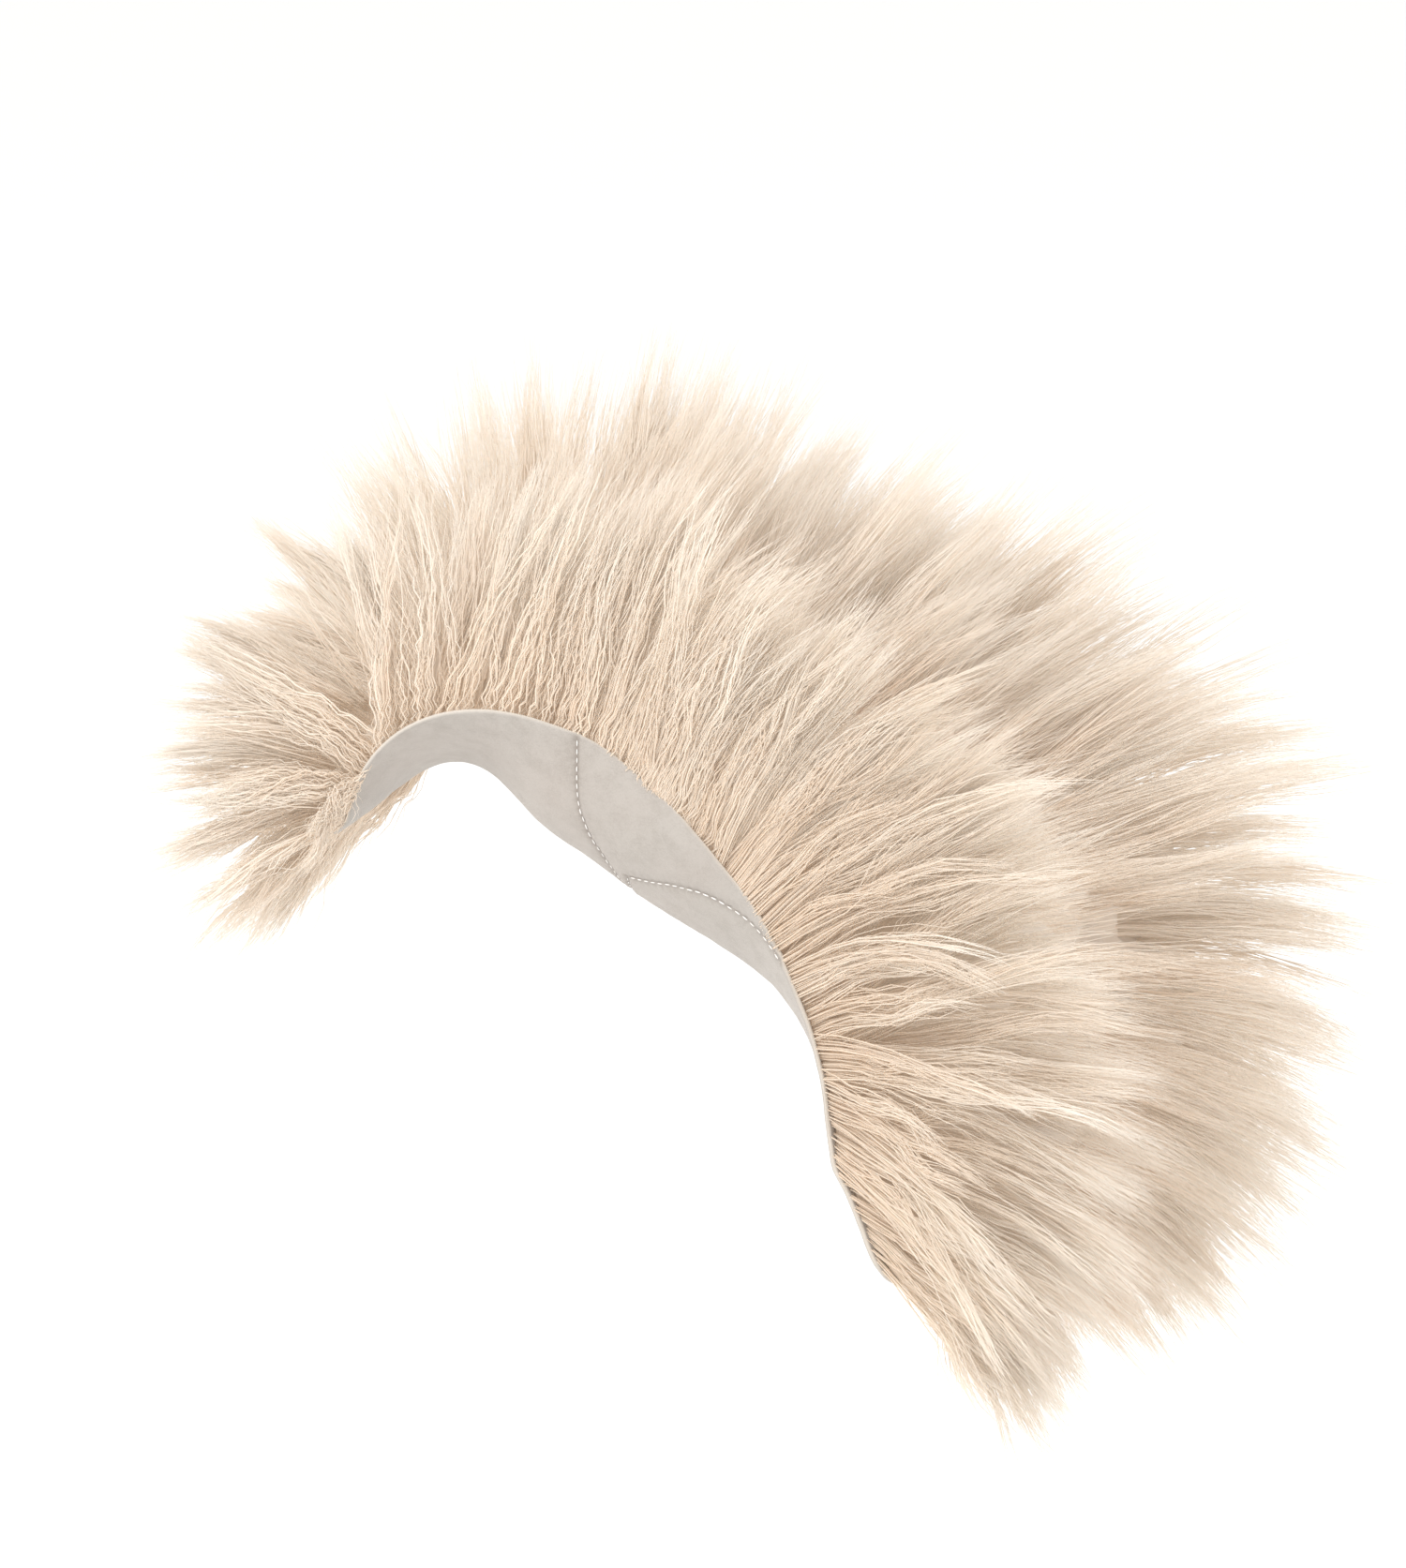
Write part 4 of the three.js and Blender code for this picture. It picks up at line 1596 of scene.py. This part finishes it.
    def _strands(
        self, group: StrandGroup, chosen: Array, random: np.random.Generator
    ) -> dict[str, Array]:
        """The centrelines of strands.

        Args:
            group: How they are made.
            chosen: The lock of each strand.
            random: Where their differences come from.

        Returns:
            The places, shares, widths and tones, one row for each strand.
        """
        locks, tufts = self.locks, self.tufts
        many, crimp = len(chosen), group.crimp
        tuft = locks["tuft"][chosen]
        phase = locks["phase"][chosen][:, None]
        spread = random.normal(0.0, 0.42, (many, 2)) * self.lock_gap
        root = locks["root"][chosen] + spread
        outside = self.hide.inside(root[:, 0], root[:, 1]) < 0.5
        root[outside] = locks["root"][chosen][outside]
        free = random.random(many) < self.free_share
        reach = locks["reach"][chosen] * np.sqrt(random.uniform(0.74, 1.0, many))
        grid = np.linspace(0.0, 1.0, group.points) ** (1.35 if crimp else 1.0)
        shares = (group.start + (1.0 - group.start) * grid)[None, :] * np.ones((many, 1))
        direction, length = tufts["direction"][tuft], tufts["length"][tuft]
        path = self.rule.grown(direction, length, tufts["sag"][tuft], shares * reach[:, None])
        from_edge = np.maximum(self.hide.inside(root[:, 0], root[:, 1]), 0.0)
        skin = self.hide.thickness * (self.rooted + (1.0 - self.rooted) * ease(from_edge / self.skin_edge))
        place = self.hide.point(root[:, 0], root[:, 1], skin)
        aside = place - tufts["place"][tuft]
        lock_place = self.hide.point(*locks["root"][chosen].T, self.hide.thickness)
        from_lock = place - lock_place
        from_tuft = aside - from_lock
        to_tuft = self.to_tuft * shares**1.6
        to_lock = np.where(free, 0.0, self.to_lock)[:, None] * ease(shares * 1.15)
        line = (
            tufts["place"][tuft][:, None]
            + path
            + from_tuft[:, None] * (1.0 - to_tuft)[..., None]
            + from_lock[:, None] * (1.0 - to_lock)[..., None]
        )
        stray = np.where(free, self.stray_free, self.stray_bound)[:, None]
        drift = locks["drift"][chosen] + random.normal(0.0, 1.0, (many, 3)) * stray
        line += drift[:, None] * (shares**1.5)[..., None]
        side = unit(np.cross(direction, np.array([0.3, 1.0, 0.2])))
        other = np.cross(direction, side)
        turn = phase + 2.0 * math.pi * locks["turns"][chosen][:, None] * shares
        wave = (locks["wave"][chosen][:, None] * ease(shares * 1.4))[..., None]
        across = np.sin(turn)[..., None] * side[:, None]
        line += wave * (across + 0.7 * np.cos(turn)[..., None] * other[:, None])
        line += random.normal(0.0, self.tremble, line.shape) * ease(shares * 2.0)[..., None]
        if crimp:
            ripple = np.sin(2.0 * math.pi * shares * length[:, None] / self.crimp_length + phase)
            fade = crimp * (1.0 - ease(shares / 0.7))
            line += (ripple * fade)[..., None] * (0.75 * side + 0.65 * other)[:, None]
        line = self._kept_within(line)
        thin = np.where(free, self.free_thinness, 1.0) * random.uniform(0.75, 1.15, many)
        width = thin[:, None] * (1.0 - 0.2 * shares) * (1.0 - 0.8 * ease((shares - 0.7) / 0.3))
        tone = 0.6 * locks["tone"][chosen] + 0.4 * random.random(many)
        # Painted shade: strands in the valley behind the parting get lower tones, most towards their roots.
        valley = 0.9 * locks["valley"][chosen][:, None] * (1.15 - shares)
        return {
            "place": line,
            "share": shares * np.clip(reach, 0.0, 1.0)[:, None],
            "width": width,
            "tone": tone[:, None] - self.valley_shade_strength * valley,
        }

    def _kept_within(self, line: Array) -> Array:
        """Bends back, softly, the points that come close to the room's ends."""
        for axis, (low, high) in enumerate(self.room):
            past = np.maximum(line[..., axis] - (high - self.soft_end), 0.0)
            short = np.maximum((low + self.soft_end) - line[..., axis], 0.0)
            line[..., axis] -= past - self.soft_end * (1.0 - np.exp(-past / self.soft_end))
            line[..., axis] += short - self.soft_end * (1.0 - np.exp(-short / self.soft_end))
        return line

    def _underwool(self, zone: WoolZone, cells: int = 16, layers: int = 3) -> tuple[Array, list, Array]:
        """The closed body of dense wool under the locks of one zone.

        Args:
            zone: The zone.
            cells: Its cells along run and along depth.
            layers: Its layers from the skin up.

        Returns:
            Its places, faces and shares.
        """
        side = cells + 1
        clear = self.core_rim
        places, shares = [], []
        for up in np.linspace(0.0, 1.0, layers + 1):
            for run in np.linspace(zone.runs[0] + self.core_inset, zone.runs[1] - self.core_inset, side):
                near, far = self.hide.depth_span(np.array(run))
                first, last = (near + (far - near) * d / self.hide.far_edge for d in zone.depths)
                depth = np.linspace(max(first, near + clear), min(last, far - clear), side)
                line = np.full(side, run)
                at = self.hide.frame(line, depth)
                share = up * self._underwool_height(line, depth)
                direction = self.rule.direction(line, depth, at)
                length = self.rule.length(line, at.t)
                path = self.rule.grown(direction, length, np.full(side, self.rule.sag), share[:, None])
                places.append(self.hide.point(line, depth, self.hide.thickness + self.core_lift) + path[:, 0])
                shares.append(share)

        def quad(*corners: tuple[int, int, int]) -> tuple[int, ...]:
            """The face through corners that are each given along run, along depth and up."""
            return tuple(k * side * side + i * side + j for i, j, k in corners)

        faces = []
        for i in range(cells):
            for j in range(cells):
                faces.append(quad((i, j, 0), (i, j + 1, 0), (i + 1, j + 1, 0), (i + 1, j, 0)))
                ring = ((i, j), (i + 1, j), (i + 1, j + 1), (i, j + 1))
                faces.append(quad(*((*at_corner, layers) for at_corner in ring)))
        for k in range(layers):
            for i in range(cells):
                walls = (
                    ((i, 0), (i + 1, 0)),
                    ((i + 1, cells), (i, cells)),
                    ((0, i + 1), (0, i)),
                    ((cells, i), (cells, i + 1)),
                )
                for here, there in walls:
                    faces.append(quad((*here, k), (*there, k), (*there, k + 1), (*here, k + 1)))
        return np.vstack(places), faces, np.concatenate(shares)

    def _underwool_height(self, run: Array, depth: Array) -> Array:
        """How high the underwool stands, low at the rim and beside the left fold.

        Args:
            run: Places along the arch.
            depth: Distances from the held edge.

        Returns:
            The heights, as shares of the wool's length.
        """
        rim = ease((self.hide.inside(run, depth) - self.core_rim) / 55.0)
        beside_fold = 0.95 * np.exp(-(((run + 8.0) / 20.0) ** 2))
        rim = rim * (1.0 - beside_fold * (1.0 - ease((depth - 20.0) / 50.0)))
        return (0.012 + 0.5 * rim) * (1.0 + 0.12 * Ripple(60, 14.0).at(run, depth))

    def _strand_tree(self, material: bpy.types.Material) -> GeometryGraph:
        """The tree that turns centrelines into tapered fibres and keeps the underwool with them.

        Args:
            material: The wool.

        Returns:
            The tree.
        """
        inputs = {"Radius": self.strand_radius * MM, "Sides": self.strand_sides, "Material": material}
        graph = GeometryGraph("wool_fibres", inputs)
        parted = graph.node(
            "GeometryNodeSeparateGeometry",
            {"domain": "EDGE"},
            {"Geometry": graph.given["Geometry"], "Selection": graph.named("guide")},
        )
        curves = graph.node("GeometryNodeMeshToCurve", {}, {0: parted.outputs[0]}).outputs[0]
        radius = Value(graph, graph.named("width")) * Value(graph, graph.given["Radius"])
        round_inputs = {"Resolution": graph.given["Sides"], "Radius": 1.0}
        ring = graph.node("GeometryNodeCurvePrimitiveCircle", {"mode": "RADIUS"}, round_inputs).outputs[0]
        swept = {"Curve": curves, "Profile Curve": ring, "Scale": radius, "Fill Caps": True}
        fibres = graph.node("GeometryNodeCurveToMesh", {}, swept).outputs[0]
        joined = graph.node("GeometryNodeJoinGeometry", {}, {})
        for part in (parted.outputs[1], fibres):
            graph.tree.links.new(part, joined.inputs[0])
        graph.close(joined.outputs[0])
        return graph

    def _groups(self, zone: WoolZone) -> list[StrandGroup]:
        """The kinds of strand in a zone: crimped at the grip, whole near the outline, and tips elsewhere.

        Args:
            zone: The zone.

        Returns:
            The groups that have locks.
        """
        mask = self._zone_mask(zone, self.locks["root"])
        edge = self.locks["edge"]
        run, depth = self.locks["root"].T
        outer = np.flatnonzero(mask & (edge < self.outer_width))
        inner = np.flatnonzero(mask & (edge >= self.outer_width))
        low, high = self.curly_runs
        curly = np.flatnonzero(mask & (depth < self.curly_depth) & (run > low) & (run < high))
        groups = []
        if len(curly):
            groups.append(StrandGroup(curly, 19, 0.0, 1.25, 0.42))
            outer = np.setdiff1d(outer, curly)
        outer_part = 0.0 if not len(outer) else (0.62 if len(inner) else 1.0)
        left = 1.0 - sum(group.part for group in groups)
        if len(outer):
            groups.append(StrandGroup(outer, 9, 0.0, 0.0, left * outer_part))
        if len(inner):
            groups.append(StrandGroup(inner, 6, 0.42, 0.0, left * (1.0 - outer_part)))
        return groups

    def _zone_piece(self, zone: WoolZone, material: bpy.types.Material) -> bpy.types.Object:
        """Makes the wool of one zone.

        Args:
            zone: The zone.
            material: The wool.

        Returns:
            The piece.
        """
        random = np.random.default_rng(self.seed * 100 + sum(map(ord, zone.name)))
        places, faces, core_share = self._underwool(zone)
        left = zone.triangles - 2 * len(faces)
        sides = self.strand_sides
        first = len(places)
        points = [places]
        numbers = {
            "share": [core_share],
            "width": [np.ones(first)],
            # The underwool's lower tone is painted shade inside the fleece.
            "tone": [np.full(first, self.core_shaded_tone)],
            "guide": [np.zeros(first)],
        }
        edges: list[Array] = []
        for group in self._groups(zone):
            count = group.points
            many = int(left * group.part / (2 * sides * (count - 1) + 2 * (sides - 2)))
            made = self._strands(group, random.choice(group.locks, many), random)
            points.append(made["place"].reshape(-1, 3))
            for key in ("share", "width", "tone"):
                numbers[key].append(made[key].ravel())
            numbers["guide"].append(np.ones(many * count))
            ids = first + np.arange(many * count).reshape(many, count)
            edges.append(np.stack([ids[:, :-1].ravel(), ids[:, 1:].ravel()], axis=1))
            first += many * count
        mesh = bpy.data.meshes.new("wool_guides")
        mesh.from_pydata((np.vstack(points) * MM).tolist(), np.vstack(edges).tolist(), faces)
        set_numbers(mesh, **{key: np.concatenate(values) for key, values in numbers.items()})
        guides = bpy.data.objects.new("wool_guides", mesh)
        bpy.context.scene.collection.objects.link(guides)
        grown = self._strand_tree(material).run_on(guides)
        for spare in ("guide", "width"):
            if spare in grown.attributes:
                grown.attributes.remove(grown.attributes[spare])
        return new_piece(f"locks_{zone.name}", grown)

    def build(self, material: bpy.types.Material) -> list[bpy.types.Object]:
        """Grows the wool of every zone; the crown's pieces ride on the centre body.

        Args:
            material: The wool.

        Returns:
            The pieces.
        """
        made = []
        for zone in self.zones():
            piece = self._zone_piece(zone, material)
            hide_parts(f"wool_{zone.name}")
            if zone.run_name in ("left_flap", "thumb_side"):
                self.folds.bend(piece, Body.LEFT)
            elif zone.run_name in ("right_flap", "shoulder"):
                self.folds.bend(piece, Body.RIGHT)
            else:
                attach(piece, Body.CENTRE.value)
            triangles = sum(len(face.vertices) - 2 for face in piece.data.polygons)
            LOG.info("%s: %d triangles", piece.name, triangles)
            made.append(piece)
        return made


# ---------------------------------------------------------------- floor, lights and camera


@dataclass
class Studio:
    """A pale floor, soft lights, and a camera a little to the right of the held edge."""

    azimuth: float = 16.0
    elevation: float = 13.0
    distance: float = 2.4
    lens: float = 123.0
    aside: float = 0.0575
    below: float = 0.0225
    floor_height: float = -0.62
    floor_size: float = 60.0
    sensor: float = 36.0
    sky_strength: float = 1.08
    aim: tuple[float, float, float] = (0.05, 0.15, -0.05)

    def _directions(self) -> tuple[Vector, Vector, Vector]:
        """The directions towards the camera, to its right and up in its picture."""
        turn, lift = math.radians(self.azimuth), math.radians(self.elevation)
        flat = math.cos(lift)
        toward = Vector((math.sin(turn) * flat, -math.cos(turn) * flat, math.sin(lift)))
        right = Vector((math.cos(turn), math.sin(turn), 0.0))
        return toward, right, toward.cross(right)

    def build_camera(self) -> None:
        """Puts up the camera."""
        toward, right, up = self._directions()
        data = bpy.data.cameras.new("camera")
        data.lens = self.lens
        data.sensor_width = self.sensor
        data.clip_end = 200.0
        made = bpy.data.objects.new("camera", data)
        bpy.context.scene.collection.objects.link(made)
        made.location = toward * self.distance + right * self.aside - up * self.below
        made.rotation_euler = toward.to_track_quat("Z", "Y").to_euler()
        bpy.context.scene.camera = made

    def build_floor(self) -> None:
        """Lays the floor."""
        graph = ShaderGraph("floor_pale")
        grain = graph.noise(3.0, 2.0)
        colour = graph.blend(grain * 0.3, (0.93, 0.93, 0.925), (0.915, 0.915, 0.91))
        inputs = {"Base Color": colour, "Roughness": 0.9, "Specular IOR Level": 0.1}
        material = graph.finish(graph.node("ShaderNodeBsdfPrincipled", {}, inputs).outputs[0])
        half = self.floor_size / 2.0
        mesh = bpy.data.meshes.new("floor")
        corners = ((-half, -half), (half, -half), (half, half), (-half, half))
        mesh.from_pydata([(x, y, self.floor_height) for x, y in corners], [], [(0, 1, 2, 3)])
        mesh.materials.append(material)
        new_piece("floor", mesh)

    def build_lights(self) -> None:
        """Hangs the lights."""
        world = bpy.data.worlds.new("studio")
        world.use_nodes = True
        graph = Graph(world.node_tree)
        bright = {"Color": (1.0, 0.995, 0.985), "Strength": self.sky_strength}
        sky = graph.node("ShaderNodeBackground", {}, bright)
        graph.node("ShaderNodeOutputWorld", {}, {"Surface": sky.outputs[0]})
        bpy.context.scene.world = world
        self._light("key", (-1.3, -2.2, 2.4), 2.0, 72.0, (1.0, 0.985, 0.965))
        self._light("fill", (2.4, -2.0, 0.9), 2.4, 20.0, (1.0, 0.99, 0.98))
        self._light("back", (0.8, 2.4, 2.2), 2.0, 18.0, (1.0, 0.99, 0.98))

    def _light(
        self, name: str, place: tuple[float, float, float], size: float, power: float, colour: Colour
    ) -> None:
        """Hangs one square light that faces the pad.

        Args:
            name: Its name.
            place: Where it hangs, in metres.
            size: Its side, in metres.
            power: Its power, in watts.
            colour: Its colour.
        """
        data = bpy.data.lights.new(name, "AREA")
        data.shape = "SQUARE"
        data.size = size
        data.energy = power
        data.color = colour
        made = bpy.data.objects.new(name, data)
        bpy.context.scene.collection.objects.link(made)
        made.location = place
        made.rotation_euler = (Vector(place) - Vector(self.aim)).to_track_quat("Z", "Y").to_euler()

    def build(self) -> None:
        """Sets up everything that isn't the pad."""
        self.build_camera()
        self.build_floor()
        self.build_lights()
        scene = bpy.context.scene
        scene.view_settings.view_transform = "Standard"
        scene.view_settings.look = "None"


def log_match(hide: BentHide) -> None:
    """Logs the box of one panel's solid beside the box that the bent hide gives it."""
    low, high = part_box("hide_panel_middle_right")
    runs, depths = np.meshgrid(np.linspace(112.0, 236.0, 40), np.linspace(128.0, 234.0, 40))
    places = hide.point(runs.ravel(), depths.ravel(), np.zeros(runs.size)) * MM
    LOG.info("solid %s %s", list(low), list(high))
    LOG.info("rule %s %s", places.min(axis=0), places.max(axis=0))


def main() -> None:
    """Builds the pad, piece by piece."""
    logging.basicConfig(level=logging.INFO, format="%(name)s: %(message)s")
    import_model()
    hide = BentHide()
    log_match(hide)
    Studio().build()
    folds = Folds(hide)
    panels = SuedePanels(hide, folds)
    LOG.info("panels: %d", len(panels.build(SuedeFinish().make())))
    LOG.info("threads: %d", len(SeamThreads(hide, panels, folds).build(ThreadFinish().make())))
    LOG.info("wool: %d", len(Fleece(hide, WoolRule(hide), folds).build(WoolFinish().make())))


if __name__ == "__main__":
    main()
